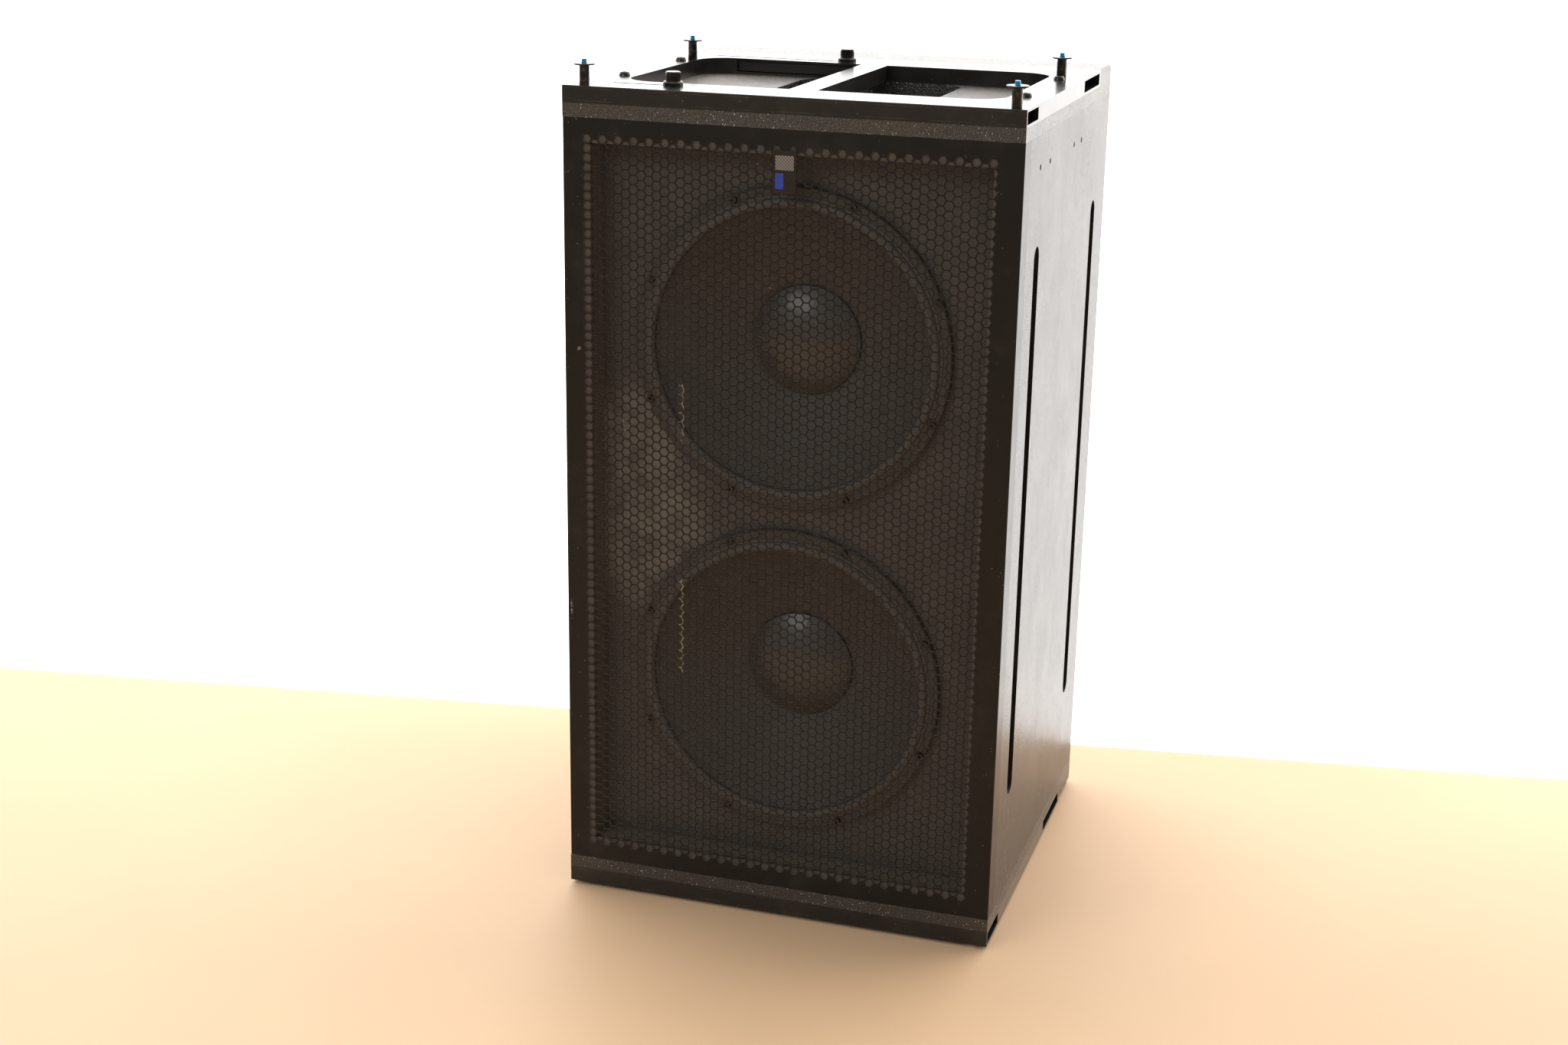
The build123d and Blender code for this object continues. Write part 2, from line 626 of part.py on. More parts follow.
def quick_pin(x, y):
    """Pin with a round flange, bored for its spindle and button."""
    low = HEIGHT + PIN_STANDS
    top = low + PIN_FLANGE_THICK
    body = post(0, 0, PIN_R, HEIGHT - PIN_DEEP, low)
    body = chamfer(body.edges().group_by(Axis.Z)[0], PIN_TIP_BEVEL)
    flange = post(0, 0, PIN_FLANGE_R, low, top)
    flange = fillet(flange.edges().group_by(Axis.Z)[-1], PIN_EDGE_ROUND)
    body += flange
    body -= post(0, 0, PIN_BORE_R, top - BUTTON_DEEP - BUTTON_SPARE, top)
    body -= post(0, 0, SPINDLE_BORE_R, top - SPINDLE_BORE_DEEP, top)
    return Pos(x, y, 0) * body


def pin_button(x, y):
    """Push button with its spindle, which frees the pin when it is pressed."""
    top = HEIGHT + PIN_STANDS + PIN_FLANGE_THICK
    cap = post(0, 0, BUTTON_R, top - BUTTON_DEEP, top + BUTTON_STANDS)
    cap = fillet(cap.edges().group_by(Axis.Z)[-1], PIN_EDGE_ROUND)
    under = top - BUTTON_DEEP
    spindle = post(0, 0, SPINDLE_R, under - SPINDLE_LONG + BUTTON_SPARE, under)
    return Pos(x, y, 0) * (cap + spindle)


# Grille ---------------------------------------------------------------------------------------


def grille():
    """Front sheet folded round both sides."""
    front = block(0, WIDTH, 0, SHEET, GRILLE_LOW, GRILLE_HIGH)
    left = block(0, SHEET, 0, GRILLE_RETURN, GRILLE_LOW, GRILLE_HIGH)
    right = block(WIDTH - SHEET, WIDTH, 0, GRILLE_RETURN, GRILLE_LOW, GRILLE_HIGH)
    sheet = front + left + right
    folds = [e for e in sheet.edges().filter_by(Axis.Z) if e.center().Y < 0.01]
    return fillet(folds, SHEET * 0.9)


def badge():
    """Small round-cornered plate on the front of the grille."""
    outline = Plane.XZ * RectangleRounded(BADGE_WIDE, BADGE_TALL, BADGE_ROUND)
    return Pos(BADGE_X, 0, BADGE_TOP - BADGE_TALL / 2) * extrude(outline, BADGE_THICK)


def grille_battens():
    """Wooden strips on the baffle's border that the edge of the grille lies on."""
    left, right = PLY, WIDTH - PLY
    low, high = GRILLE_LOW, GRILLE_HIGH
    strips = []
    for x0 in (left, right - SIDE_BATTEN_WIDE):
        strips.append(block(x0, x0 + SIDE_BATTEN_WIDE, SHEET, BAFFLE_FRONT, low, high))
    for z0 in (low, high - END_BATTEN_TALL):
        x0, x1 = left + SIDE_BATTEN_WIDE, right - SIDE_BATTEN_WIDE
        strips.append(block(x0, x1, SHEET, BAFFLE_FRONT, z0, z0 + END_BATTEN_TALL))
    return strips


# Drivers --------------------------------------------------------------------------------------


def basket(z):
    """Cast frame: flange on the baffle's front, conical wall with eight windows, ring for the motor."""
    profile = [
        (DRIVER_FLANGE_R, FLANGE_FRONT + FLANGE_BEVEL),
        (DRIVER_FLANGE_R, BAFFLE_FRONT),
        (BASKET_MOUTH_R + 4, BAFFLE_FRONT),
        (BASKET_MOUTH_R + 2, 62),
        (BASKET_NECK_R + 4, 138),
        (BASKET_NECK_R, MOTOR_FRONT),
        (BASKET_SEAT_R, MOTOR_FRONT),
        (BASKET_SEAT_R, MOTOR_FRONT - BASKET_FLOOR),
        (BASKET_NECK_R - 12, MOTOR_FRONT - BASKET_FLOOR),
        (BASKET_NECK_R - 12, LANDING_Y),
        (BASKET_NECK_R - 2, LANDING_Y),
        (BASKET_NECK_R - 2, 128),
        (BASKET_MOUTH_R - 4, 58),
        (BASKET_MOUTH_R, 44),
        (BASKET_MOUTH_R, FLANGE_FRONT),
        (DRIVER_FLANGE_R - FLANGE_BEVEL, FLANGE_FRONT),
    ]
    frame = turned(profile, 0, 0)
    for turn in range(BASKET_WINDOWS):
        angle = HALF_STEP + turn * 360 / BASKET_WINDOWS
        frame -= Pos(0, 98, 0) * Rot(0, angle, 0) * Pos(140, 0, 0) * Box(120, 50, 62)
    for x, dz in driver_bolt_places():
        frame -= rod(x, dz, DRIVER_BOLT_R, FLANGE_FRONT, BAFFLE_FRONT)
    return Pos(MID_X, 0, z) * frame


def arc_shell(inner, outer, y, rise, thick):
    """Face between two arcs that bulge forward from y by rise: a thin rolled section."""
    middle = (inner + outer) / 2
    return make_face(
        [
            ThreePointArc((inner, y), (middle, y - rise), (outer, y)),
            Line((outer, y), (outer - thick, y)),
            ThreePointArc((outer - thick, y), (middle, y - rise + thick), (inner + thick, y)),
            Line((inner + thick, y), (inner, y)),
        ]
    )


def surround(z):
    """Half roll of rubber between cone and basket, with a flat lip glued to the flange."""
    inner = CONE_R + FLEX_GAP
    outer = inner + ROLL_WIDE
    roll = revolve(arc_shell(inner, outer, FLANGE_FRONT, ROLL_RISE, ROLL_THICK), Axis.Y)
    lip_in = outer - ROLL_THICK
    lip_front = FLANGE_FRONT - ROLL_THICK
    corners = [(lip_in, lip_front), (LIP_R, lip_front), (LIP_R, FLANGE_FRONT), (lip_in, FLANGE_FRONT)]
    return Pos(MID_X, 0, z) * (roll + turned(corners, 0, 0))


def cone(z):
    """Paper cone, slightly flared, from the surround down to the voice coil."""
    front = make_face(
        [
            ThreePointArc((CONE_R, FLANGE_FRONT), (CONE_MID_R, CONE_MID_Y), (COIL_R, CONE_BACK)),
            Line((COIL_R, CONE_BACK), (COIL_R, CONE_BACK + CONE_THICK)),
            ThreePointArc(
                (COIL_R, CONE_BACK + CONE_THICK),
                (CONE_MID_R, CONE_MID_Y + CONE_THICK),
                (CONE_R, FLANGE_FRONT + CONE_THICK),
            ),
            Line((CONE_R, FLANGE_FRONT + CONE_THICK), (CONE_R, FLANGE_FRONT)),
        ]
    )
    return Pos(MID_X, 0, z) * revolve(front, Axis.Y)


def dust_cap(z):
    """Domed cap glued to the cone's face over the voice coil: a shell between two concentric arcs."""
    radius = (CAP_R**2 + CAP_RISE**2) / (2 * CAP_RISE)
    half_angle = asin(CAP_R / radius)
    centre = CAP_Y - CAP_RISE + radius

    def dome_point(arc_radius, share):
        """Point of an arc about the dome's centre, from 0 at the crown to 1 at the rim."""
        return arc_radius * sin(half_angle * share), centre - arc_radius * cos(half_angle * share)

    outer = [dome_point(radius, share) for share in (0, 0.5, 1)]
    inner = [dome_point(radius - CAP_THICK, share) for share in (1, 0.5, 0)]
    profile = make_face(
        [ThreePointArc(*outer), Line(outer[-1], inner[0]), ThreePointArc(*inner), Line(inner[-1], outer[0])]
    )
    return Pos(MID_X, 0, z) * revolve(profile, Axis.Y)


def spider(z):
    """Corrugated ring that centres the voice coil."""
    inner = COIL_R + FLEX_GAP
    steps = 2 * SPIDER_WAVES
    pitch = (SPIDER_R - inner) / steps
    flat = LANDING_Y - SPIDER_THICK
    front = [(inner + i * pitch, flat - (SPIDER_WAVE if i % 2 else 0)) for i in range(steps + 1)]
    back = [(r, y + SPIDER_THICK) for r, y in reversed(front)]
    return turned(front + back, MID_X, z)


def voice_coil(z):
    """Former tube with its winding."""
    inner = COIL_R - COIL_THICK
    tube = [(inner, CONE_BACK + CONE_THICK), (COIL_R, CONE_BACK + CONE_THICK)]
    tube += [(COIL_R, COIL_BACK - COIL_WIND), (COIL_R + COIL_WIRE, COIL_BACK - COIL_WIND)]
    tube += [(COIL_R + COIL_WIRE, COIL_BACK), (inner, COIL_BACK)]
    return turned(tube, MID_X, z)


def motor(z):
    """Magnet ring between the top plate and the back plate with its bored pole."""
    y0 = MOTOR_FRONT
    y1 = y0 + TOP_PLATE
    y2 = y1 + MAGNET_THICK
    y3 = y2 + TOP_PLATE
    plate_r = MOTOR_R - PLATE_INSET
    hole_r = MOTOR_R - MAGNET_WIDE
    top_plate = turned([(GAP_OUTER_R, y0), (plate_r, y0), (plate_r, y1), (GAP_OUTER_R, y1)], MID_X, z)
    magnet = turned([(hole_r, y1), (MOTOR_R, y1), (MOTOR_R, y2), (hole_r, y2)], MID_X, z)
    pole = [(VENT_R, y0), (POLE_R, y0), (POLE_R, y2), (plate_r, y2), (plate_r, y3), (VENT_R, y3)]
    return top_plate, magnet, turned(pole, MID_X, z)


def driver_bolt_places():
    """Places of one driver's eight bolts round its centre, as (x, z)."""
    places = PolarLocations(DRIVER_BOLT_CIRCLE_R, DRIVER_BOLTS, HALF_STEP)
    return [(place.position.X, place.position.Y) for place in places]


def driver_bolt(x, z):
    """Socket screw that holds a basket's flange to the baffle."""
    front = FLANGE_FRONT - DRIVER_BOLT_HEAD
    head = rod(x, z, DRIVER_BOLT_HEAD_R, front, FLANGE_FRONT)
    socket = rod(x, z, DRIVER_BOLT_HEAD_R / 2, front, front + DRIVER_BOLT_SOCKET)
    return head + rod(x, z, DRIVER_BOLT_R, FLANGE_FRONT, DRIVER_BOLT_END) - socket


# Rear amplifier -------------------------------------------------------------------------------


def amp_panel():
    """Aluminium panel behind the rear opening, with upright cooling fins above the socket field."""
    back = DEPTH - PLY
    left, right = MID_X - AMP_WIDE / 2 - AMP_LIP, MID_X + AMP_WIDE / 2 + AMP_LIP
    low, high = AMP_Z - AMP_TALL / 2 - AMP_LIP, AMP_Z + AMP_TALL / 2 + AMP_LIP
    panel = block(left, right, back - AMP_PLATE, back, low, high)
    fin_low, fin_high = SOCKET_Z + FIN_START, AMP_Z + AMP_TALL / 2 - FIN_MARGIN
    count = int((AMP_WIDE - 2 * FIN_MARGIN) / FIN_PITCH) + 1
    for i in range(count):
        x = MID_X + (i - (count - 1) / 2) * FIN_PITCH
        panel += block(x - FIN_THICK / 2, x + FIN_THICK / 2, back, FIN_BACK, fin_low, fin_high)
    for x, radius in SOCKETS:
        panel -= rod(MID_X + x, SOCKET_Z, radius, back - AMP_PLATE, back)
    return panel


def socket(x, radius, wall, deep):
    """Round socket let into the panel, open to the back."""
    back = DEPTH - PLY
    end = back + SOCKET_STANDS
    shell = rod(MID_X + x, SOCKET_Z, radius, back - deep - SOCKET_FLOOR, end)
    return shell - rod(MID_X + x, SOCKET_Z, radius - wall, end - deep, end)


def amp_board():
    """Amplifier's circuit board on its spacers, parallel to the panel, with a row of capacitors."""
    panel_y = DEPTH - PLY - AMP_PLATE
    back = panel_y - BOARD_OFF
    front = back - BOARD_THICK
    low, high = BOARD_Z
    board = block(MID_X - BOARD_HALF, MID_X + BOARD_HALF, front, back, low, high)
    for x in (MID_X - BOARD_HALF + SPACER_INSET, MID_X + BOARD_HALF - SPACER_INSET):
        for z in (low + SPACER_INSET, high - SPACER_INSET):
            board += rod(x, z, SPACER_R, back - BITE, panel_y)
    for i in range(CAPACITORS):
        x = MID_X + (i - (CAPACITORS - 1) / 2) * CAPACITOR_PITCH
        board += rod(x, CAPACITOR_Z, CAPACITOR_R, front - CAPACITOR_LONG, front + BITE)
    return board


def transformer():
    """Ring-core mains transformer bolted beside the board."""
    y1 = DEPTH - PLY - AMP_PLATE - RING_OFF
    y0 = y1 - RING_LONG
    ring = rod(*RING_PLACE, RING_R, y0, y1) - rod(*RING_PLACE, RING_HOLE_R, y0, y1)
    return fillet(ring.edges(), RING_ROUND)


def main():
    """Draw and write every sub-part."""
    os.makedirs("parts", exist_ok=True)
    write("end_panel_top", end_panel())
    write("end_panel_bottom", lower(end_panel()))
    write("hand_cup_top", hand_cup())
    write("hand_cup_bottom", lower(hand_cup()))
    write("side_panel_left", side_panel(0, PLY, 0))
    write("side_panel_right", grooved_side_panel())
    write("front_baffle", front_baffle())
    write("bass_ports", *[bass_port(x) for x in PORT_X])
    write("centre_brace", centre_brace())
    write("rear_panel", rear_panel())
    for name, y in zip(("skid_front", "skid_rear"), SKID_Y):
        write(name, skid(y))
    write("side_screws", *[side_screw(y) for y in SIDE_SCREW_Y])

    bolts = []
    screws = []
    for end, place in (("top", lambda piece: piece), ("bottom", lower)):
        write(f"frame_base_plate_{end}", place(frame_plate(FRAME_LOW)))
        write(f"frame_core_bars_{end}", *[place(bar) for bar in core_bars()])
        write(f"frame_cover_plate_{end}", place(cover_plate()))
        bolts += [place(frame_bolt(*spot)) for spot in BOLT_PLACES]
        screws += [place(cover_screw(*spot)) for spot in COVER_SCREWS]
        write(f"front_link_{end}", place(front_link()))
        write(f"rear_link_{end}", place(rear_link()))
    write("frame_bolts", *bolts)
    write("frame_cover_screws", *screws)
    write("front_link_knob", knob(*FRONT_KNOB))
    write("rear_link_knob", knob(*REAR_KNOB))
    write("front_guide_screw", lower(guide_screw(*FRONT_KNOB)))
    write("rear_guide_screw", lower(guide_screw(*REAR_KNOB)))
    for corner, (x, y) in PIN_PLACES.items():
        write(f"pin_{corner}", quick_pin(x, y))
        write(f"pin_button_{corner}", pin_button(x, y))

    write("grille", grille())
    write("grille_battens", *grille_battens())
    write("badge", badge())

    driver_bolts = []
    spiders = []
    for side, z in DRIVER_Z.items():
        write(f"basket_{side}", basket(z))
        write(f"surround_{side}", surround(z))
        write(f"cone_{side}", cone(z))
        write(f"dust_cap_{side}", dust_cap(z))
        spiders.append(spider(z))
        write(f"voice_coil_{side}", voice_coil(z))
        write(f"motor_{side}", *motor(z))
        driver_bolts += [driver_bolt(MID_X + x, z + dz) for x, dz in driver_bolt_places()]
    write("driver_bolts", *driver_bolts)
    write("spiders", *spiders)

    write("amp_panel", amp_panel())
    write("amp_board", amp_board())
    write("amp_transformer", transformer())
    signal_in, signal_out, mains = SOCKETS
    write("signal_sockets", *[socket(*place, SIGNAL_WALL, SIGNAL_DEEP) for place in (signal_in, signal_out)])
    write("power_inlet", socket(*mains, MAINS_WALL, MAINS_DEEP))


main()
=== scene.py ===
"""Looks of a touring subwoofer cabinet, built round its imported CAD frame.

The cabinet stands on end: a black plywood box with a hex-perforated steel grille over two 15-inch
drivers, a flat rigging frame on each end, quick-release pins and links, and skid grooves.
Everything is in metres in the CAD frame: x to the right, y to the back, z up, floor at z = 0.
"""

from __future__ import annotations

import logging
import math
from dataclasses import dataclass
from enum import Enum
from typing import Any

import bpy
import numpy as np
from mathutils import Matrix, Vector

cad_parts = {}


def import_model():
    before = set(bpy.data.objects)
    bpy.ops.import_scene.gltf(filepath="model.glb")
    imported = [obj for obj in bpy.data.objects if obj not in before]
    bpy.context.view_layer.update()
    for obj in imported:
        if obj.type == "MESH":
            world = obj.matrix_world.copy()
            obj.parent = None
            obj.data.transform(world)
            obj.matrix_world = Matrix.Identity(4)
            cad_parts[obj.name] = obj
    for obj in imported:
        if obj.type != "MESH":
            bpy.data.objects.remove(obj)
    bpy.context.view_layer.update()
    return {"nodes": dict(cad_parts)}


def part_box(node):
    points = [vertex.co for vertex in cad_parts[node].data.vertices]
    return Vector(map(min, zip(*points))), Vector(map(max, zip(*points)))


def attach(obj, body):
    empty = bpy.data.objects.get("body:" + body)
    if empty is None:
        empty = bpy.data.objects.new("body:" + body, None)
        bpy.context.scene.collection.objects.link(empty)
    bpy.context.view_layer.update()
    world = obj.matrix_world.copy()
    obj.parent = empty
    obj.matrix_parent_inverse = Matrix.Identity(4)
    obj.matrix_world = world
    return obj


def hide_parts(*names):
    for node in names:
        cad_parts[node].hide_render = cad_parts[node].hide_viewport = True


LOG = logging.getLogger("cabinet")
Color = tuple[float, float, float]
Point = tuple[float, float, float]
Mark = tuple[Point, Point, float]
Surface = tuple[np.ndarray, list[list[int]]]
EVEN: Point = (1.0, 1.0, 1.0)


# Shader tools ---------------------------------------------------------------------------------


class Value:
    """A number that may vary over a surface, held as a shader socket that arithmetic works on."""

    def __init__(self, recipe: "Recipe", socket: bpy.types.NodeSocket) -> None:
        """Wraps a socket of a recipe's node tree."""
        self.recipe = recipe
        self.socket = socket

    def _math(self, operation: str, *inputs: "Value | float") -> "Value":
        """Adds one Math node for an operation on the inputs."""
        node = self.recipe.node("ShaderNodeMath", {"operation": operation}, dict(enumerate(inputs)))
        return Value(self.recipe, node.outputs[0])

    def __add__(self, other: "Value | float") -> "Value":
        """Sum."""
        return self._math("ADD", self, other)

    __radd__ = __add__

    def __sub__(self, other: "Value | float") -> "Value":
        """Difference."""
        return self._math("SUBTRACT", self, other)

    def __rsub__(self, other: float) -> "Value":
        """Difference from a plain number."""
        return self._math("SUBTRACT", other, self)

    def __mul__(self, other: "Value | float") -> "Value":
        """Product."""
        return self._math("MULTIPLY", self, other)

    __rmul__ = __mul__

    def __abs__(self) -> "Value":
        """Size without sign."""
        return self._math("ABSOLUTE", self)

    def __mod__(self, step: float) -> "Value":
        """What is left over a multiple of step, never negative."""
        return self._math("FLOORED_MODULO", self, step)

    def least(self, other: "Value | float") -> "Value":
        """The smaller of the two."""
        return self._math("MINIMUM", self, other)

    def most(self, other: "Value | float") -> "Value":
        """The larger of the two."""
        return self._math("MAXIMUM", self, other)

    def root(self) -> "Value":
        """Square root."""
        return self._math("SQRT", self)

    def fade(self, start: float, end: float) -> "Value":
        """Smooth step: 0 at start and before, 1 at end and past it. Start may be above end."""
        low, high = (start, end) if start < end else (end, start)
        ends = (0.0, 1.0) if start < end else (1.0, 0.0)
        settings = {"interpolation_type": "SMOOTHSTEP"}
        inputs = {"Value": self, "From Min": low, "From Max": high, "To Min": ends[0], "To Max": ends[1]}
        node = self.recipe.node("ShaderNodeMapRange", settings, inputs)
        return Value(self.recipe, node.outputs["Result"])


class Recipe:
    """One procedural material while its nodes are laid out."""

    def __init__(self, name: str) -> None:
        """Starts an empty node tree with an output."""
        self.material = bpy.data.materials.new(name)
        self.material.use_nodes = True
        self.tree = self.material.node_tree
        self.tree.nodes.clear()
        self.output = self.node("ShaderNodeOutputMaterial")
        self.coordinates = self.node("ShaderNodeTexCoord").outputs["Object"]

    def node(
        self, kind: str, settings: dict[str, Any] | None = None, inputs: dict[Any, Any] | None = None
    ) -> bpy.types.Node:
        """Adds a node.

        Args:
            kind: The node's type.
            settings: Its properties, set first.
            inputs: Values, sockets or Values for its inputs, by name or index.

        Returns:
            The new node.
        """
        node = self.tree.nodes.new(kind)
        for name, value in (settings or {}).items():
            setattr(node, name, value)
        for name, value in (inputs or {}).items():
            if isinstance(value, Value):
                value = value.socket
            if isinstance(value, bpy.types.NodeSocket):
                self.tree.links.new(value, node.inputs[name])
            elif isinstance(value, tuple) and node.inputs[name].type == "RGBA":
                node.inputs[name].default_value = (*value, 1.0)
            else:
                node.inputs[name].default_value = value
        return node

    def axes(self) -> tuple[Value, Value, Value]:
        """The object coordinates x, y and z, each as a Value."""
        split = self.node("ShaderNodeSeparateXYZ", None, {0: self.coordinates})
        return tuple(Value(self, split.outputs[i]) for i in range(3))

    def upward(self) -> Value:
        """Mask of faces that look up, for dust and painted top light: the height of the surface's own normal.
        """
        normal = self.node("ShaderNodeNewGeometry").outputs["Normal"]
        split = self.node("ShaderNodeSeparateXYZ", None, {0: normal})
        return Value(self, split.outputs[2]).fade(0.7, 0.95)

    def noise(
        self, size: float, detail: float = 3.0, rough: float = 0.5, stretch: Point = EVEN, shift: float = 0.0
    ) -> Value:
        """Smooth noise from 0 to 1, its features about size metres across and drawn out by stretch."""
        scale = tuple(1.0 / (size * s) for s in stretch)
        turn = {"Vector": self.coordinates, "Location": (shift, shift * 0.7, shift * 1.3), "Scale": scale}
        place = self.node("ShaderNodeMapping", None, turn)
        inputs = {"Vector": place.outputs[0], "Scale": 1.0, "Detail": detail, "Roughness": rough}
        return Value(self, self.node("ShaderNodeTexNoise", None, inputs).outputs[0])

    def cells(self, size: float) -> Value:
        """Distance to the nearest of scattered points about size metres apart, in units of that size."""
        scale = (1.0 / size,) * 3
        place = self.node("ShaderNodeMapping", None, {"Vector": self.coordinates, "Scale": scale})
        inputs = {"Vector": place.outputs[0], "Scale": 1.0}
        return Value(self, self.node("ShaderNodeTexVoronoi", None, inputs).outputs["Distance"])

    def blend(self, factor: Value, first: Any, second: Any) -> bpy.types.NodeSocket:
        """First color where factor is 0, second where it is 1."""
        node = self.node("ShaderNodeMix", {"data_type": "RGBA"}, {0: factor, 6: first, 7: second})
        return node.outputs[2]

    def bump(
        self, height: Value, depth: float, before: bpy.types.NodeSocket | None = None
    ) -> bpy.types.NodeSocket:
        """Normal of a surface raised by height times depth metres, on top of an earlier normal."""
        inputs = {"Height": height, "Distance": depth, "Strength": 1.0}
        if before is not None:
            inputs["Normal"] = before
        return self.node("ShaderNodeBump", None, inputs).outputs[0]

    def line(self, start: Point, end: Point, width: float, skip: int | None = None) -> Value:
        """Mask of a straight mark: 1 within half the width of the segment between two points, fading out.

        The distance is that of a point to the segment: the point's place along it, held between 0 and 1,
        gives the nearest point.

        Args:
            start: One end of the mark.
            end: Its other end.
            width: Full width in metres.
            skip: An axis whose distance doesn't count, for a mark on a face across that axis.

        Returns:
            The mask.
        """
        axes = self.axes()
        used = [i for i in range(3) if i != skip]
        run = [end[i] - start[i] for i in used]
        length_squared = sum(r * r for r in run)
        along: Value | float = 0.0
        for i, r in zip(used, run):
            along = (axes[i] - start[i]) * (r / length_squared) + along
        along = along.most(0.0).least(1.0)
        gap: Value | float = 0.0
        for i, r in zip(used, run):
            miss = axes[i] - start[i] - along * r
            gap = miss * miss + gap
        return gap.root().fade(width * 0.75, width * 0.35)

    def edges(self, low: Vector, high: Vector, reach: float, ragged: float = 0.6) -> Value:
        """Mask of the worn edges of a box: 1 at an edge, fading to 0 at a ragged distance of about reach.

        Each axis has a distance to the nearer of its two faces. An edge is where two of them are small, so
        the distance to the edge is the least of the larger ones of each pair.
        """
        gaps = []
        for axis, a, b in zip(self.axes(), low, high):
            gaps.append((b - a) / 2 - abs(axis - (a + b) / 2))
        pairs = [gaps[0].most(gaps[1]), gaps[1].most(gaps[2]), gaps[0].most(gaps[2])]
        distance = pairs[0].least(pairs[1]).least(pairs[2])
        noise = self.noise(0.012, 5.0, 0.65)
        return (distance * (1 / reach) - (noise - 0.5) * (2.5 * ragged)).fade(0.9, 0.1)

    def finish(self, **inputs: Any) -> bpy.types.Material:
        """Adds the surface shader and gives back the material. Underscores in names stand for spaces."""
        named = {name.replace("_", " "): value for name, value in inputs.items()}
        shader = self.node("ShaderNodeBsdfPrincipled", None, named)
        self.node_link(shader.outputs[0])
        return self.material

    def node_link(self, surface: bpy.types.NodeSocket) -> None:
        """Joins a shader to the material's output."""
        self.tree.links.new(surface, self.output.inputs["Surface"])


# Finishes -------------------------------------------------------------------------------------


@dataclass(frozen=True)
class TexturedPaint:
    """Hard black cabinet paint with a rolled, pebbled texture, specks and scuffs. The specks are dust, but
    the end band's bright white specks are painted glints.
    """

    name: str = "textured_paint"
    base: Color = (0.013, 0.012, 0.0105)
    haze: Color = (0.050, 0.045, 0.038)
    # Colour of the specks and scuffs: dust, and on the end band painted glints.
    dust: Color = (0.080, 0.071, 0.060)
    depth: float = 0.00016
    shine: float = 0.21
    speck: float = 0.0034
    speck_reach: float = 0.16
    speck_share: float = 0.5
    chip: Color = (0.30, 0.27, 0.22)
    roughness: float = 0.25
    grain: float = 0.0011
    marks: tuple[Mark, ...] = ()
    wear: float = 0.0022
    # Colour of faces that look up: dust, and painted top light.
    top_dust_and_light: Color = (0.115, 0.102, 0.088)

    def build(self, low: Vector, high: Vector) -> bpy.types.Material:
        """Makes the material for a panel with this box."""
        r = Recipe(self.name)
        pebble = r.cells(self.grain).fade(0.75, 0.1)
        fine = r.noise(self.grain * 0.6, 2.0)
        height = pebble * 0.7 + fine * 0.5
        haze = r.noise(0.11, 5.0, 0.6)
        sown = r.noise(self.speck * 2, 1.0, shift=3.0).fade(1.0 - self.speck_share, 1.1 - self.speck_share)
        specks = r.cells(self.speck).fade(self.speck_reach, self.speck_reach / 3) * sown
        scuffs = r.noise(0.02, 6.0, 0.75, (1.0, 1.0, 7.0), 5.0).fade(0.66, 0.74)
        worn = r.edges(low, high, self.wear, 1.0) * r.noise(0.013, 5.0, 0.7, shift=7.0).fade(0.50, 0.75)
        marks = worn * 0.28
        for start, end, width in self.marks:
            broken = r.noise(0.009, 5.0, 0.7, shift=8.0).fade(0.42, 0.72)
            marks = marks.most(r.line(start, end, width) * broken * 0.45)
        color = r.blend(haze.fade(0.35, 0.75) * 0.35, self.base, self.haze)
        # Faces that look up are made paler: dust, and painted top light.
        up = r.upward()
        color = r.blend(up * haze.fade(0.1, 0.8), color, self.top_dust_and_light)
        color = r.blend((specks * (0.9 - up * 0.72)).most(scuffs * 0.2), color, self.dust)
        color = r.blend(marks, color, self.chip)
        rough = self.roughness + (haze - 0.5) * 0.16 + scuffs * 0.12 + marks * 0.15
        normal = r.bump(height, self.depth)
        return r.finish(Base_Color=color, Roughness=rough, Normal=normal, Specular_IOR_Level=self.shine)


@dataclass(frozen=True)
class PowderCoat:
    """Satin black powder coat on metal, with orange-peel texture and bare bright edges."""

    name: str = "powder_coat"
    base: Color = (0.0125, 0.0118, 0.0106)
    bare: Color = (0.30, 0.275, 0.235)
    dust: Color = (0.060, 0.053, 0.044)
    roughness: float = 0.20
    wear: float = 0.0005
    marks: tuple[Mark, ...] = ()
    fleck: float = 1.0
    shine: float = 0.5

    def build(self, low: Vector, high: Vector) -> bpy.types.Material:
        """Makes the material for a piece with this box."""
        r = Recipe(self.name)
        peel = r.noise(0.0016, 3.0, 0.5)
        haze = r.noise(0.07, 5.0, 0.65)
        hair = r.noise(0.0025, 5.0, 0.6, (18.0, 1.0, 1.0), 2.0).fade(0.70, 0.78)
        flecks = r.cells(0.006).fade(0.13, 0.06) * r.noise(0.02, 2.0, shift=9.0).fade(0.55, 0.66)
        worn = r.edges(low, high, self.wear) * r.noise(0.03, 4.0, 0.6, shift=7.0).fade(0.45, 0.65)
        marks = (worn * 0.4).most(flecks * self.fleck)
        for start, end, width in self.marks:
            broken = r.noise(0.003, 3.0, shift=4.0).fade(0.40, 0.55)
            marks = marks.most(r.line(start, end, width) * broken)
        color = r.blend(haze.fade(0.45, 0.85) * 0.28, self.base, self.dust)
        color = r.blend(hair * 0.3, color, self.dust)
        color = r.blend(marks * 0.8, color, self.bare)
        rough = self.roughness + (haze - 0.5) * 0.14 + hair * 0.1 + marks * 0.1
        normal = r.bump(peel, 0.00004)
        return r.finish(
            Base_Color=color, Roughness=rough, Metallic=marks * 0.8, Normal=normal,
            Specular_IOR_Level=self.shine,
        )


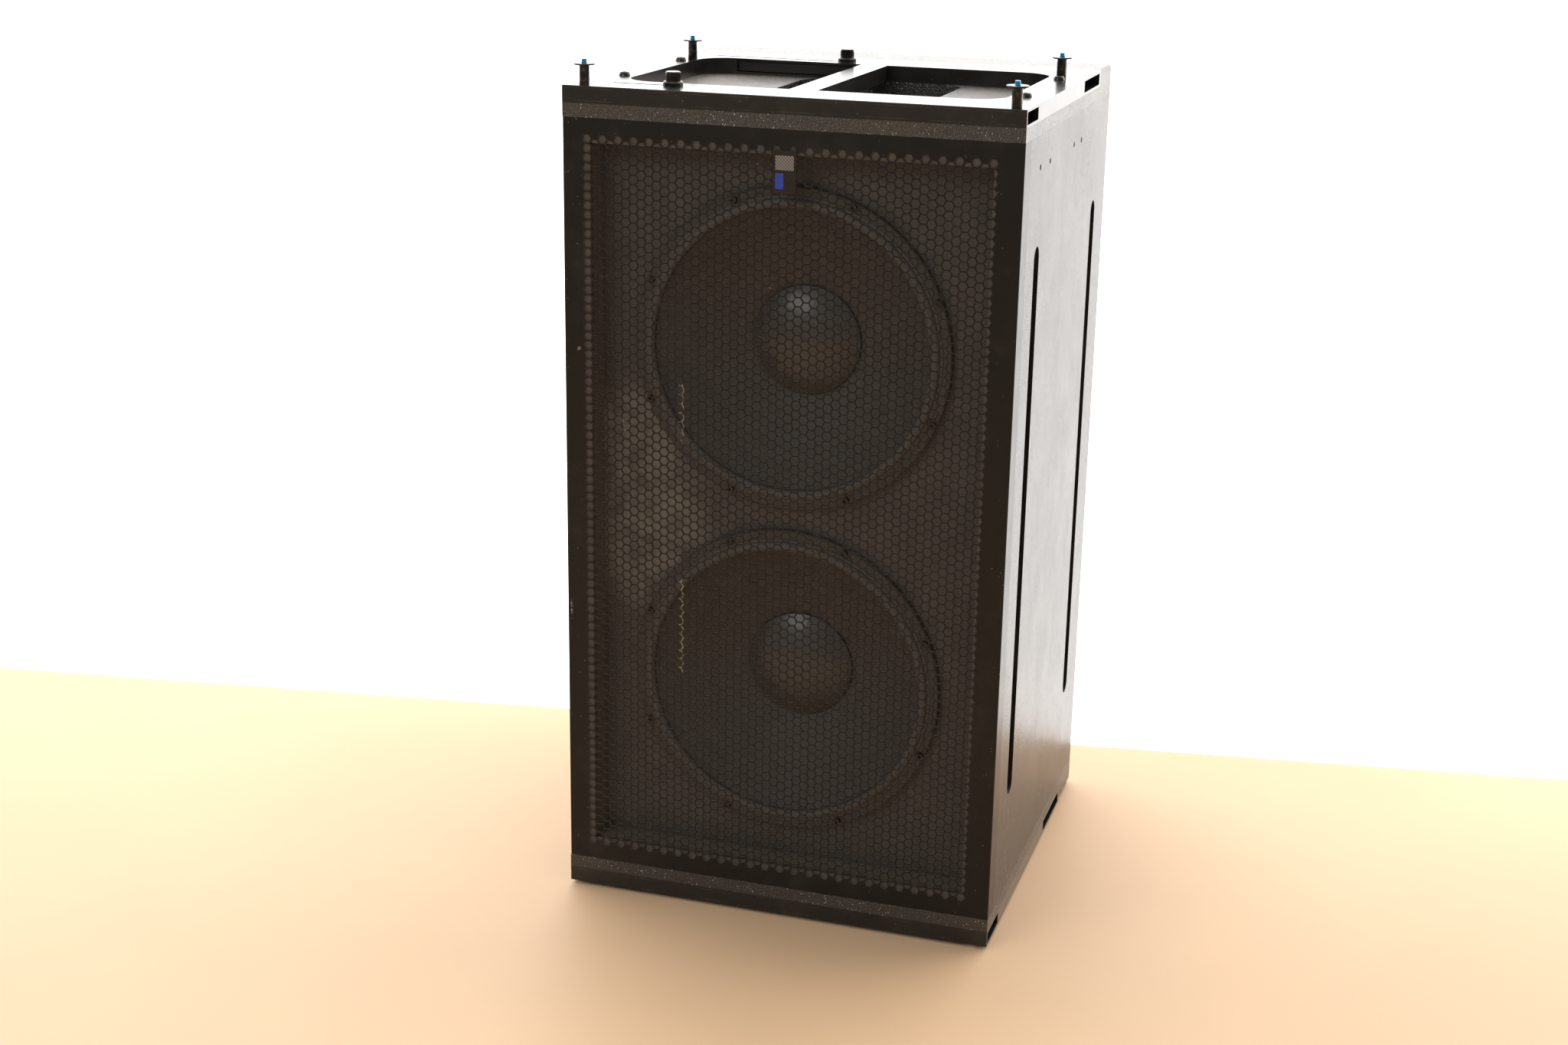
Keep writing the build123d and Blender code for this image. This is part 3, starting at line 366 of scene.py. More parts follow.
@dataclass(frozen=True)
class BlackWood:
    """Plywood stained black on the inside, with dust lying on it and a faint grain."""

    name: str = "black_wood"
    base: Color = (0.064, 0.059, 0.052)
    grain_color: Color = (0.085, 0.078, 0.069)
    dust: Color = (0.122, 0.111, 0.097)
    along: Point = (1.0, 1.0, 14.0)
    side: Color | None = None
    patch: Mark | None = None
    patched: Color = (0.24, 0.22, 0.19)

    def build(self, low: Vector, high: Vector) -> bpy.types.Material:
        """Makes the material. A side color takes over a few millimetres behind the piece's front face:
        painted light that lifts the shade on the piece's sides.
        """
        r = Recipe(self.name)
        grain = r.noise(0.004, 5.0, 0.6, self.along)
        pores = r.noise(0.0012, 2.0, 0.5, self.along, 4.0)
        dust = r.noise(0.05, 5.0, 0.7, shift=2.0).fade(0.35, 0.75)
        specks = r.cells(0.005).fade(0.12, 0.05)
        color = r.blend(grain.fade(0.3, 0.7), self.base, self.grain_color)
        color = r.blend((dust * 0.55).most(specks * 0.8), color, self.dust)
        if self.patch is not None:
            start, end, width = self.patch
            soft = r.line(start, end, width, 1) * r.noise(0.03, 4.0, 0.6, shift=5.0).fade(0.25, 0.65)
            color = r.blend(soft * 0.75, color, self.patched)
        if self.side is not None:
            # Painted light: paler sides behind the front face lift the shade on them.
            behind = r.axes()[1].fade(low[1] + 0.001, low[1] + 0.010)
            color = r.blend(behind * (0.5 + grain * 0.8), color, self.side)
        normal = r.bump(grain * 0.5 + pores * 0.5, 0.00015)
        return r.finish(Base_Color=color, Roughness=0.62 + (grain - 0.5) * 0.2, Normal=normal)


@dataclass(frozen=True)
class BareBatten(BlackWood):
    """Thinly stained softwood strip, brown with dust, its sides paler as painted light against their shade.
    """

    name: str = "bare_batten"
    base: Color = (0.040, 0.034, 0.029)
    grain_color: Color = (0.066, 0.056, 0.047)
    dust: Color = (0.095, 0.082, 0.069)
    side: Color = (0.21, 0.175, 0.14)


@dataclass(frozen=True)
class Moulded:
    """Moulded plastic: fine matt grain, faint flow marks, dust and rubbed edges."""

    name: str = "moulded"
    base: Color = (0.022, 0.0205, 0.019)
    rubbed: Color = (0.11, 0.10, 0.09)
    roughness: float = 0.42
    grain: float = 0.0007
    metallic: float = 0.0

    def build(self, low: Vector, high: Vector) -> bpy.types.Material:
        """Makes the material for a piece with this box."""
        r = Recipe(self.name)
        grain = r.cells(self.grain)
        flow = r.noise(0.03, 4.0, 0.6)
        worn = r.edges(low, high, 0.0012)
        dust = r.noise(0.016, 5.0, 0.7, shift=6.0).fade(0.5, 0.85)
        # Faces that look up are made paler: dust, and painted top light.
        top_dust_and_light = r.upward() * flow.fade(0.1, 0.7) * 0.8
        color = r.blend((worn * 0.7).most(dust * 0.35).most(top_dust_and_light), self.base, self.rubbed)
        rough = self.roughness + (flow - 0.5) * 0.2 - worn * 0.08
        normal = r.bump(grain * 0.6 + r.noise(self.grain * 2, 2.0) * 0.4, 0.00005)
        return r.finish(Base_Color=color, Roughness=rough, Metallic=self.metallic, Normal=normal)


@dataclass(frozen=True)
class WornSteel:
    """Dark turned or oxidised steel with fine tool marks round an axis or along it, and bright wear."""

    name: str = "worn_steel"
    dark: Color = (0.034, 0.030, 0.027)
    bright: Color = (0.30, 0.27, 0.235)
    roughness: float = 0.22
    stretch: Point = (12.0, 12.0, 0.6)
    polish: float = 0.35
    reach: float = 0.0008

    def build(self, low: Vector, high: Vector) -> bpy.types.Material:
        """Makes the material for a piece with this box."""
        r = Recipe(self.name)
        lathe = r.noise(0.0006, 3.0, 0.5, self.stretch)
        stain = r.noise(0.007, 5.0, 0.7)
        worn = r.edges(low, high, self.reach, 0.4)
        shine = (stain.fade(0.45, 0.7) * self.polish).most(worn)
        color = r.blend(shine, self.dark, self.bright)
        rough = self.roughness + (stain - 0.5) * 0.22 + (lathe - 0.5) * 0.1
        normal = r.bump(lathe, 0.00002)
        return r.finish(Base_Color=color, Roughness=rough, Metallic=0.9, Normal=normal)


class Rings(Enum):
    """How the ribs of a driver's moving part run."""

    NONE = 0.0
    SHALLOW = 0.0003


@dataclass(frozen=True)
class DriverPaper:
    """Pressed paper pulp with fibres and concentric ribs round a driver's axis."""

    name: str = "driver_paper"
    base: Color = (0.072, 0.066, 0.059)
    fibre: Color = (0.138, 0.126, 0.111)
    roughness: float = 0.70
    rings: Rings = Rings.SHALLOW
    pitch: float = 0.019
    coat: float = 0.0

    def build(self, low: Vector, high: Vector) -> bpy.types.Material:
        """Makes the material, with ribs round the middle of this box: bump height follows the radius."""
        r = Recipe(self.name)
        x, _, z = r.axes()
        dx = x - (low[0] + high[0]) / 2
        dz = z - (low[2] + high[2]) / 2
        radius = (dx * dx + dz * dz).root()
        rib = abs(radius % self.pitch - self.pitch / 2) * (2 / self.pitch)
        fibres = r.noise(0.0016, 5.0, 0.7)
        dust = r.noise(0.018, 5.0, 0.7, shift=1.0).fade(0.4, 0.8)
        color = r.blend(fibres.fade(0.45, 0.8) * 0.5, self.base, self.fibre)
        color = r.blend(dust * 0.45, color, self.fibre)
        normal = r.bump(fibres, 0.0001)
        if self.rings is not Rings.NONE:
            normal = r.bump(rib.fade(0.0, 1.0), self.rings.value, normal)
        rough = self.roughness + (dust - 0.4) * 0.2
        return r.finish(
            Base_Color=color, Roughness=rough, Normal=normal, Coat_Weight=self.coat, Coat_Roughness=0.12
        )


@dataclass(frozen=True)
class CoilWire:
    """Enamelled copper wire wound round a driver's axis."""

    name: str = "coil_wire"
    base: Color = (0.42, 0.17, 0.06)
    pitch: float = 0.0006

    def build(self, low: Vector, high: Vector) -> bpy.types.Material:
        """Makes the material: round turns side by side along y, painted darker between the turns as painted
        shade in the grooves.
        """
        r = Recipe(self.name)
        y = r.axes()[1]
        turn = abs(y % self.pitch - self.pitch / 2) * (2 / self.pitch)
        stain = r.noise(0.01, 4.0)
        # Painted shade: darker between the turns.
        color = r.blend(turn.fade(0.4, 1.0), self.base, (0.10, 0.04, 0.015))
        normal = r.bump(1.0 - turn * turn, 0.00025)
        return r.finish(Base_Color=color, Roughness=0.28 + stain * 0.15, Metallic=0.85, Normal=normal)


@dataclass(frozen=True)
class WovenCloth:
    """Treated woven cloth: threads crossing every millimetre."""

    name: str = "woven_cloth"
    base: Color = (0.22, 0.13, 0.05)
    # Colour of the raised threads: painted light; the hollows keep the darker base as painted shade.
    light: Color = (0.42, 0.28, 0.13)
    thread: float = 0.0009

    def build(self, low: Vector, high: Vector) -> bpy.types.Material:
        """Makes the material: the weave's height is the product of two triangle waves, in x and z. The colour
        follows the height too: lighter on the raised threads and darker in the hollows, painted light and
        shade.
        """
        r = Recipe(self.name)
        x, _, z = r.axes()
        across = abs(x % self.thread - self.thread / 2) * (2 / self.thread)
        up = abs(z % self.thread - self.thread / 2) * (2 / self.thread)
        weave = across * up
        stain = r.noise(0.02, 4.0)
        # Painted light and shade: raised threads lighter, hollows darker.
        color = r.blend(weave, self.base, self.light)
        color = r.blend(stain.fade(0.5, 0.8) * 0.5, color, self.base)
        return r.finish(Base_Color=color, Roughness=0.75 + (stain - 0.5) * 0.2, Normal=r.bump(weave, 0.0002))


@dataclass(frozen=True)
class CircuitBoard:
    """Green lacquered board with copper tracks and pads."""

    name: str = "circuit_board"
    lacquer: Color = (0.008, 0.055, 0.022)
    track: Color = (0.03, 0.14, 0.055)
    pad: Color = (0.55, 0.52, 0.46)
    grid: float = 0.00508

    def build(self, low: Vector, high: Vector) -> bpy.types.Material:
        """Makes the material: tracks follow steps of a coarse noise, pads sit on a grid."""
        r = Recipe(self.name)
        x, _, z = r.axes()
        bands = (r.noise(0.02, 1.0) * 9.0) % 1.0
        tracks = bands.fade(0.42, 0.5) * bands.fade(0.66, 0.58)
        across = x % self.grid - self.grid / 2
        up = z % self.grid - self.grid / 2
        pads = (across * across + up * up).root().fade(0.0011, 0.0008)
        color = r.blend(tracks, self.lacquer, self.track)
        color = r.blend(pads, color, self.pad)
        rough = 0.3 - tracks * 0.06
        normal = r.bump(tracks, 0.0001)
        return r.finish(Base_Color=color, Roughness=rough, Metallic=pads * 0.9, Normal=normal)


@dataclass(frozen=True)
class EmblemFoil:
    """Brushed silver foil embossed with a fine plain lattice of diagonal lines."""

    name: str = "emblem_foil"
    silver: Color = (0.30, 0.29, 0.28)
    groove: Color = (0.045, 0.043, 0.040)
    step: float = 0.0038

    def build(self, low: Vector, high: Vector) -> bpy.types.Material:
        """Makes the material: dark grooves where x + z or x - z is close to a multiple of the step."""
        r = Recipe(self.name)
        x, _, z = r.axes()
        rising = abs((x + z) % self.step - self.step / 2)
        falling = abs((x - z) % self.step - self.step / 2)
        groove = rising.most(falling).fade(self.step * 0.30, self.step * 0.42)
        brushed = r.noise(0.0004, 3.0, 0.5, (16.0, 1.0, 1.0))
        color = r.blend(groove * 0.85, self.silver, self.groove)
        normal = r.bump(1.0 - groove, 0.0001, r.bump(brushed, 0.00001))
        return r.finish(Base_Color=color, Roughness=0.30 + brushed * 0.15, Metallic=0.6, Normal=normal)


@dataclass(frozen=True)
class Enamel:
    """Glossy enamel or tinted anodising with faint waviness, dust and hairlines."""

    name: str = "enamel"
    base: Color = (0.012, 0.05, 0.42)
    dust: Color = (0.10, 0.14, 0.34)
    roughness: float = 0.22
    metallic: float = 0.0

    def build(self, low: Vector, high: Vector) -> bpy.types.Material:
        """Makes the material."""
        r = Recipe(self.name)
        cloud = r.noise(0.006, 4.0, 0.65)
        hair = r.noise(0.0006, 4.0, 0.6, (14.0, 1.0, 1.0), 3.0).fade(0.62, 0.75)
        color = r.blend((cloud.fade(0.5, 0.8) * 0.3).most(hair * 0.4), self.base, self.dust)
        rough = self.roughness + (cloud - 0.5) * 0.15 + hair * 0.1
        normal = r.bump(cloud, 0.00003)
        return r.finish(Base_Color=color, Roughness=rough, Metallic=self.metallic, Normal=normal)


# Mesh tools -----------------------------------------------------------------------------------


def make_piece(
    name: str, points: np.ndarray, faces: list[list[int]], body: str = "cabinet"
) -> bpy.types.Object:
    """Makes a mesh object from points and faces, welded where points coincide, riding on a body.

    Args:
        name: The piece's name.
        points: Array of shape (n, 3), in metres in the frame.
        faces: Corner indices of each face, counter-clockwise seen from outside.
        body: The CAD body that carries it.

    Returns:
        The new object.
    """
    keys, index = np.unique(np.round(points, 7), axis=0, return_inverse=True)
    index = index.reshape(-1)
    welded = []
    for face in faces:
        corners = index[face].tolist()
        kept = [c for k, c in enumerate(corners) if c != corners[k - 1]]
        if len(set(kept)) >= 3:
            welded.append(kept)
    mesh = bpy.data.meshes.new(name)
    mesh.from_pydata(keys.tolist(), [], welded)
    mesh.validate()
    piece = bpy.data.objects.new(name, mesh)
    bpy.context.scene.collection.objects.link(piece)
    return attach(piece, body)


def grid_faces(rows: int, columns: int, first: int = 0, closed: bool = False) -> list[list[int]]:
    """Faces of a grid of points numbered row by row from first. Closed joins the last column to the first."""
    a, b = np.meshgrid(np.arange(rows - 1), np.arange(columns if closed else columns - 1), indexing="ij")
    nxt = (b + 1) % columns
    quads = np.stack([a * columns + b, (a + 1) * columns + b, (a + 1) * columns + nxt, a * columns + nxt], -1)
    return (quads.reshape(-1, 4) + first).tolist()


def joined(parts: list[Surface]) -> Surface:
    """Puts several sets of points and faces into one."""
    points = []
    faces = []
    count = 0
    for part_points, part_faces in parts:
        points.append(part_points)
        faces += [[c + count for c in face] for face in part_faces]
        count += len(part_points)
    return np.concatenate(points), faces


def turned(profile: np.ndarray, centre: Point, sides: int = 32) -> Surface:
    """Surface of revolution about a line along y.

    A point at angle t on a profile point (radius, y) lies at (cx + radius cos t, cy + y, cz + radius sin t).
    The profile runs from the surface's back end to its front end, and closes on the axis at both.

    Args:
        profile: Array of shape (n, 2) of radius and y.
        centre: The point of the axis that y is measured from.
        sides: Number of steps round.

    Returns:
        Points and faces.
    """
    angle = np.linspace(0, 2 * math.pi, sides, endpoint=False)
    radius, along = profile[:, :1], profile[:, 1:]
    x = centre[0] + radius * np.cos(angle)
    z = centre[2] + radius * np.sin(angle)
    y = centre[1] + along + 0 * angle
    return np.stack([x, y, z], -1).reshape(-1, 3), grid_faces(len(profile), sides, closed=True)


def soft_slab(
    x: tuple[float, float], z: tuple[float, float], back: float, thick: float, corner: float
) -> Surface:
    """Thin plate facing -y with rounded corners and a rounded rim.

    Its outline is a superellipse-like rounded rectangle: a quarter circle at each corner, offset inwards by
    the rim's own quarter circle as the surface comes forward, and closed by shrinking to the middle.

    Args:
        x: Left and right ends.
        z: Lower and upper ends.
        back: The y of its back.
        thick: Its thickness.
        corner: Radius of its corners.

    Returns:
        Points and faces.
    """
    steps = 6
    turns = np.radians(np.concatenate([np.linspace(q, q + 90, steps) for q in (0, 90, 180, 270)]))
    quarter = np.repeat(np.arange(4), steps)
    corner_x = np.where((quarter == 0) | (quarter == 3), x[1] - corner, x[0] + corner)
    corner_z = np.where(quarter < 2, z[1] - corner, z[0] + corner)
    rim = min(thick * 0.6, corner * 0.8)
    bend = np.radians(np.linspace(0, 90, 5))
    inset = np.concatenate([[0.0], rim * (1 - np.cos(bend))])
    forward = np.concatenate([[0.0], thick - rim + rim * np.sin(bend)])
    ring_x = corner_x + (corner - inset[:, None]) * np.cos(turns)
    ring_z = corner_z + (corner - inset[:, None]) * np.sin(turns)
    middle_x, middle_z = sum(x) / 2, sum(z) / 2
    ring_x = np.vstack([ring_x, middle_x + 0 * turns])
    ring_z = np.vstack([ring_z, middle_z + 0 * turns])
    ring_y = back - np.append(forward, thick)[:, None] + 0 * turns
    points = np.stack([ring_x, ring_y, ring_z], -1).reshape(-1, 3)
    return points, grid_faces(len(ring_x), len(turns), closed=True)


# Sub-assemblies -------------------------------------------------------------------------------


@dataclass
class Dresser:
    """Gives CAD nodes their finishes, one material for each node so that wear follows its own edges."""

    nodes: dict[str, bpy.types.Object]

    def dress(self, finish: Any, *names: str) -> None:
        """Puts a finish on CAD nodes."""
        for name in names:
            low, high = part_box(name)
            material = finish.build(low, high)
            material.name = f"{finish.name}_{name}"
            mesh = self.nodes[name].data
            mesh.materials.clear()
            mesh.materials.append(material)
            LOG.info("dressed %s in %s", name, finish.name)

    @staticmethod
    def coat(piece: bpy.types.Object, finish: Any, slot: str) -> None:
        """Puts a finish on a new piece."""
        flat = np.empty(len(piece.data.vertices) * 3)
        piece.data.vertices.foreach_get("co", flat)
        corners = flat.reshape(-1, 3)
        piece.data.materials.append(finish.build(Vector(corners.min(0)), Vector(corners.max(0))))
        LOG.info("made %s: %d faces", piece.name, len(piece.data.polygons))


@dataclass
class Cabinet:
    """The wooden box, its hand cups, ports and skids."""

    dresser: Dresser

    def dress(self) -> None:
        """Dresses every wooden and moulded node of the box."""
        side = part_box("side_panel_right")[1][0]
        marks = (
            ((side, -0.142, 0.600), (side, -0.182, 0.074), 0.0016),
            ((side, -0.182, 0.074), (side, -0.140, 0.030), 0.0030),
            ((side, -0.200, 0.120), (side, -0.187, 0.330), 0.0011),
            ((side, -0.079, 0.648), (side, -0.067, 0.690), 0.0022),
            ((side, 0.060, 0.860), (side, 0.110, 0.874), 0.0016),
            ((side, 0.120, 0.300), (side, 0.128, 0.520), 0.0010),
        )
        self.dresser.dress(TexturedPaint(marks=marks), "side_panel_right")
        self.dresser.dress(TexturedPaint(), "side_panel_left", "rear_panel")
        # The end band's near-white specks, given as dust, are painted glints: painted highlights on the black
        # paint.
        band_with_painted_glints = TexturedPaint(
            name="band_paint", base=(0.027, 0.0255, 0.0230), dust=(0.62, 0.60, 0.55), roughness=0.26,
            grain=0.0024, depth=0.0009, shine=0.6, speck=0.0036, speck_reach=0.24, speck_share=0.52,
        )
        self.dresser.dress(band_with_painted_glints, "end_panel_top", "end_panel_bottom")
        # A paler soft patch on the baffle, to the left between the drivers.
        pale_patch = ((-0.205, 0.0, 0.575), (-0.175, 0.0, 0.455), 0.135)
        self.dresser.dress(BlackWood(patch=pale_patch), "front_baffle")
        self.dresser.dress(BlackWood(name="brace_wood"), "centre_brace")
        self.dresser.dress(BareBatten(), "grille_battens")
        self.dresser.dress(Moulded(name="cup_moulding"), "hand_cup_top", "hand_cup_bottom", "bass_ports")
        self.dresser.dress(Moulded(name="skid_plastic", roughness=0.34), "skid_front", "skid_rear")
        screw = WornSteel(name="black_screw", dark=(0.03, 0.028, 0.025), polish=0.2)
        self.dresser.dress(screw, "side_screws")


@dataclass
class RiggingFrames:
    """The metal frame on each end with its links, knobs, pins and screws."""

    dresser: Dresser

    def dress(self) -> None:
        """Dresses every node of both frames."""
        for end in ("top", "bottom"):
            plates = [f"frame_{part}_{end}" for part in ("base_plate", "core_bars", "cover_plate")]
            self.dresser.dress(PowderCoat(wear=0.0003, shine=0.42), *plates)
            link = PowderCoat(name="link_paint", wear=0.0018, roughness=0.30)
            self.dresser.dress(link, f"front_link_{end}", f"rear_link_{end}")
        screw = WornSteel(name="black_screw", dark=(0.03, 0.028, 0.025), polish=0.25)
        screws = ("frame_bolts", "frame_cover_screws", "front_guide_screw", "rear_guide_screw")
        self.dresser.dress(screw, *screws)
        knob = WornSteel(name="knob_metal", dark=(0.030, 0.027, 0.024), polish=0.12, roughness=0.18)
        self.dresser.dress(knob, "front_link_knob", "rear_link_knob")
        blue = Enamel(name="button_blue", base=(0.035, 0.30, 0.52), dust=(0.20, 0.42, 0.55), metallic=0.5)
        for corner in ("front_left", "front_right", "rear_left", "rear_right"):
            self.dresser.dress(WornSteel(name="pin_steel", stretch=(0.6, 0.6, 12.0)), f"pin_{corner}")
            self.dresser.dress(blue, f"pin_button_{corner}")


@dataclass
class HexGrille:
    """Perforated steel sheet folded round both sides of the cabinet's front."""

    dresser: Dresser
    pitch: float = 0.01111
    hole_share: float = 0.865
    columns: int = 51
    rows: int = 81
    field_inset: float = 0.0301
    field_drop: float = 0.0240
    sheet: float = 0.002
    fold: float = 0.0018

    def build(self) -> bpy.types.Object:
        """Makes the sheet and stands it in for the plain CAD one."""
        points, faces = self._skin()
        grille = make_piece("hex_grille", points, faces)
        wall = grille.modifiers.new("sheet", "SOLIDIFY")
        wall.thickness = self.sheet
        wall.offset = -1.0
        wall.material_offset_rim = 1
        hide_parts("grille")
        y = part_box("grille")[0][1]
        marks = (
            ((-0.1207, y, 0.6695), (-0.1206, y, 0.6041), 0.0062),
            ((-0.1198, y, 0.4265), (-0.1194, y, 0.3125), 0.0062),
            ((-0.2520, y, 0.7044), (-0.2490, y, 0.7060), 0.0030),
            ((-0.0150, y, 0.7950), (-0.0060, y, 0.8010), 0.0016),
            ((-0.1937, y, 0.6250), (-0.1925, y, 0.6110), 0.0030),
            ((-0.2640, y, 0.3850), (-0.2638, y, 0.3680), 0.0018),
        )
        coat = PowderCoat(
            name="grille_coat", base=(0.0062, 0.0060, 0.0054), marks=marks, roughness=0.34, shine=0.26
        )
        # The hole walls get a far lighter copy of the coat than the face: painted highlight on the rims.
        rim = PowderCoat(name="hole_edge_painted_highlight", base=(0.125, 0.112, 0.095), roughness=0.34, fleck=0.5)
        self.dresser.coat(grille, coat, "grille_steel")
        self.dresser.coat(grille, rim, "grille_steel")
        return grille

    def _skin(self) -> Surface:
        """Outer face of the sheet, one layer thick.

        Column i and row j give a hexagon centred at (left + 1.5 R i, top - pitch (j + half if i is odd)),
        with R the hexagon's circumradius. A holed cell is six quads between its hexagon and a smaller one.
        Plain cells round the field are held inside a rectangle, from which straight margins run to the folds.
        """
        low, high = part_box("grille")
        cell = self.pitch / math.sqrt(3)
        left = low[0] + self.field_inset
        top = high[2] - self.field_drop
        i, j = np.meshgrid(np.arange(-1, self.columns + 1), np.arange(-1, self.rows + 1), indexing="ij")
        odd = i % 2
        keep = j < self.rows + 1 - odd
        centre = np.stack([left + 1.5 * cell * i, top - self.pitch * (j + odd / 2)], -1)[keep]
        holed = ((i >= 0) & (i < self.columns) & (j >= 0) & (j < self.rows - odd))[keep]

        turn = np.radians(np.arange(6) * 60)
        hexagon = np.stack([np.cos(turn), np.sin(turn)], -1)
        outer = centre[:, None] + cell * hexagon
        field_low = np.array([left - 2 * cell, top - self.pitch * self.rows])
        field_high = np.array([left + (1.5 * (self.columns - 1) + 2) * cell, top + self.pitch])
        outer = np.clip(outer, field_low, field_high)
        inner = centre[:, None] + cell * self.hole_share * hexagon

        flat = np.concatenate([outer.reshape(-1, 2), inner.reshape(-1, 2)])
        count = len(centre)
        number = np.arange(count * 6).reshape(count, 6)
        following = np.roll(number, -1, axis=1)
        shift = count * 6
        quads = np.stack([number, following, following + shift, number + shift], -1)[holed].reshape(-1, 4)
        field = (self._at_front(flat, low[1]), quads.tolist() + number[~holed].tolist())
        return joined([field, *self._margins(flat, field_low, field_high, low, high)])

    @staticmethod
    def _at_front(flat: np.ndarray, y: float) -> np.ndarray:
        """Points of the front plane from their x and z."""
        return np.stack([flat[:, 0], np.full(len(flat), y), flat[:, 1]], -1)

    def _margins(
        self, flat: np.ndarray, field_low: np.ndarray, field_high: np.ndarray, low: Vector, high: Vector
    ) -> list[Surface]:
        """Plain strips round the field, then the fold and the return on each side.

        Each strip is a grid: its columns follow the field's own border points, so that they meet.
        """
        flat = np.round(flat, 7)
        on_row = np.unique(flat[abs(flat[:, 1] - field_high[1]) < 1e-6, 0])
        on_low = np.unique(flat[abs(flat[:, 1] - field_low[1]) < 1e-6, 0])
        on_side = np.unique(flat[abs(flat[:, 0] - field_low[0]) < 1e-6, 1])
        ends = (low[0] + self.fold, high[0] - self.fold)
        bend = np.radians(np.linspace(0, 90, 5))
        depth = np.linspace(high[1], low[1] + self.fold, 4)[:-1]
        left_x = np.concatenate([np.full(3, low[0]), low[0] + self.fold * (1 - np.cos(bend))])
        left_y = np.concatenate([depth, low[1] + self.fold * (1 - np.sin(bend))])
        tall = np.concatenate([[low[2]], on_side, [high[2]]])
        wide = np.concatenate([[ends[0]], on_row, [ends[1]]])
        wide_low = np.concatenate([[ends[0]], on_low, [ends[1]]])
        front = low[1]
        return [
            self._strip(wide, np.full(len(wide), front), np.array([field_high[1], high[2]])),
            self._strip(wide_low, np.full(len(wide_low), front), np.array([low[2], field_low[1]])),
            self._strip(np.array([ends[0], field_low[0]]), np.full(2, front), on_side),
            self._strip(np.array([field_high[0], ends[1]]), np.full(2, front), on_side),
            self._strip(left_x, left_y, tall),
            self._strip((low[0] + high[0]) - left_x[::-1], left_y[::-1], tall),
        ]

    @staticmethod
    def _strip(x: np.ndarray, y: np.ndarray, z: np.ndarray) -> Surface:
        """Sheet whose plan is the line (x, y), drawn up over the heights z."""
        points = np.stack(np.broadcast_arrays(x[:, None], y[:, None], z[None, :]), -1).reshape(-1, 3)
        return points, grid_faces(len(x), len(z))


@dataclass
class Badge:
    """Black plate on the grille with a plain silver square above a narrower plain blue bar."""

    dresser: Dresser
    margin: float = 0.003
    square_tall: float = 0.0165
    bar_tall: float = 0.0180
    bar_wide: float = 0.0100
    gap: float = 0.0035
    raised: float = 0.0005
    corner: float = 0.0012

    def build(self) -> None:
        """Makes the two raised fields on the CAD plate's face."""
        low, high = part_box("badge")
        left, right = low[0] + self.margin, high[0] - self.margin
        top = high[2] - self.margin * 2
        split = top - self.square_tall
        square = soft_slab((left, right), (split, top), low[1], self.raised, self.corner)
        across = (left, left + self.bar_wide)
        below = (split - self.gap - self.bar_tall, split - self.gap)
        bar = soft_slab(across, below, low[1], self.raised, self.corner)
        silver = make_piece("badge_silver", *square)
        blue = make_piece("badge_blue", *bar)
        self.dresser.coat(silver, EmblemFoil(), "badge_gloss")
        self.dresser.coat(blue, Enamel(name="badge_enamel", base=(0.02, 0.05, 0.36)), "badge_gloss")
        black, grey = (0.008, 0.008, 0.009), (0.05, 0.05, 0.05)
        gloss = Enamel(name="badge_gloss", base=black, dust=grey, roughness=0.16)
        self.dresser.dress(gloss, "badge")


@dataclass
class Drivers:
    """The two 15-inch drivers behind the grille."""

    dresser: Dresser

    def dress(self) -> None:
        """Dresses both drivers."""
        for side in ("lower", "upper"):
            cast = PowderCoat(
                name="cast_basket", base=(0.084, 0.077, 0.068), dust=(0.135, 0.123, 0.108), roughness=0.62,
                fleck=0.2, shine=0.2,
            )
            self.dresser.dress(cast, f"basket_{side}")
            rubber = DriverPaper(
                name="surround_rubber", base=(0.094, 0.086, 0.077), pitch=0.006, roughness=0.66
            )
            self.dresser.dress(rubber, f"surround_{side}")
            self.dresser.dress(DriverPaper(name="cone_paper"), f"cone_{side}")
            cap = DriverPaper(
                name="cap_paper", base=(0.060, 0.055, 0.050), fibre=(0.112, 0.103, 0.092), rings=Rings.NONE,
                roughness=0.42, coat=0.30,
            )
            self.dresser.dress(cap, f"dust_cap_{side}")
            self.dresser.dress(CoilWire(), f"voice_coil_{side}")
            iron = Moulded(
                name="motor_iron", base=(0.03, 0.028, 0.026), roughness=0.45, grain=0.0012, metallic=0.6
            )
            self.dresser.dress(iron, f"motor_{side}")
        self.dresser.dress(WovenCloth(), "spiders")
        screw = WornSteel(name="dull_screw", dark=(0.060, 0.054, 0.047), roughness=0.5)
        self.dresser.dress(screw, "driver_bolts")


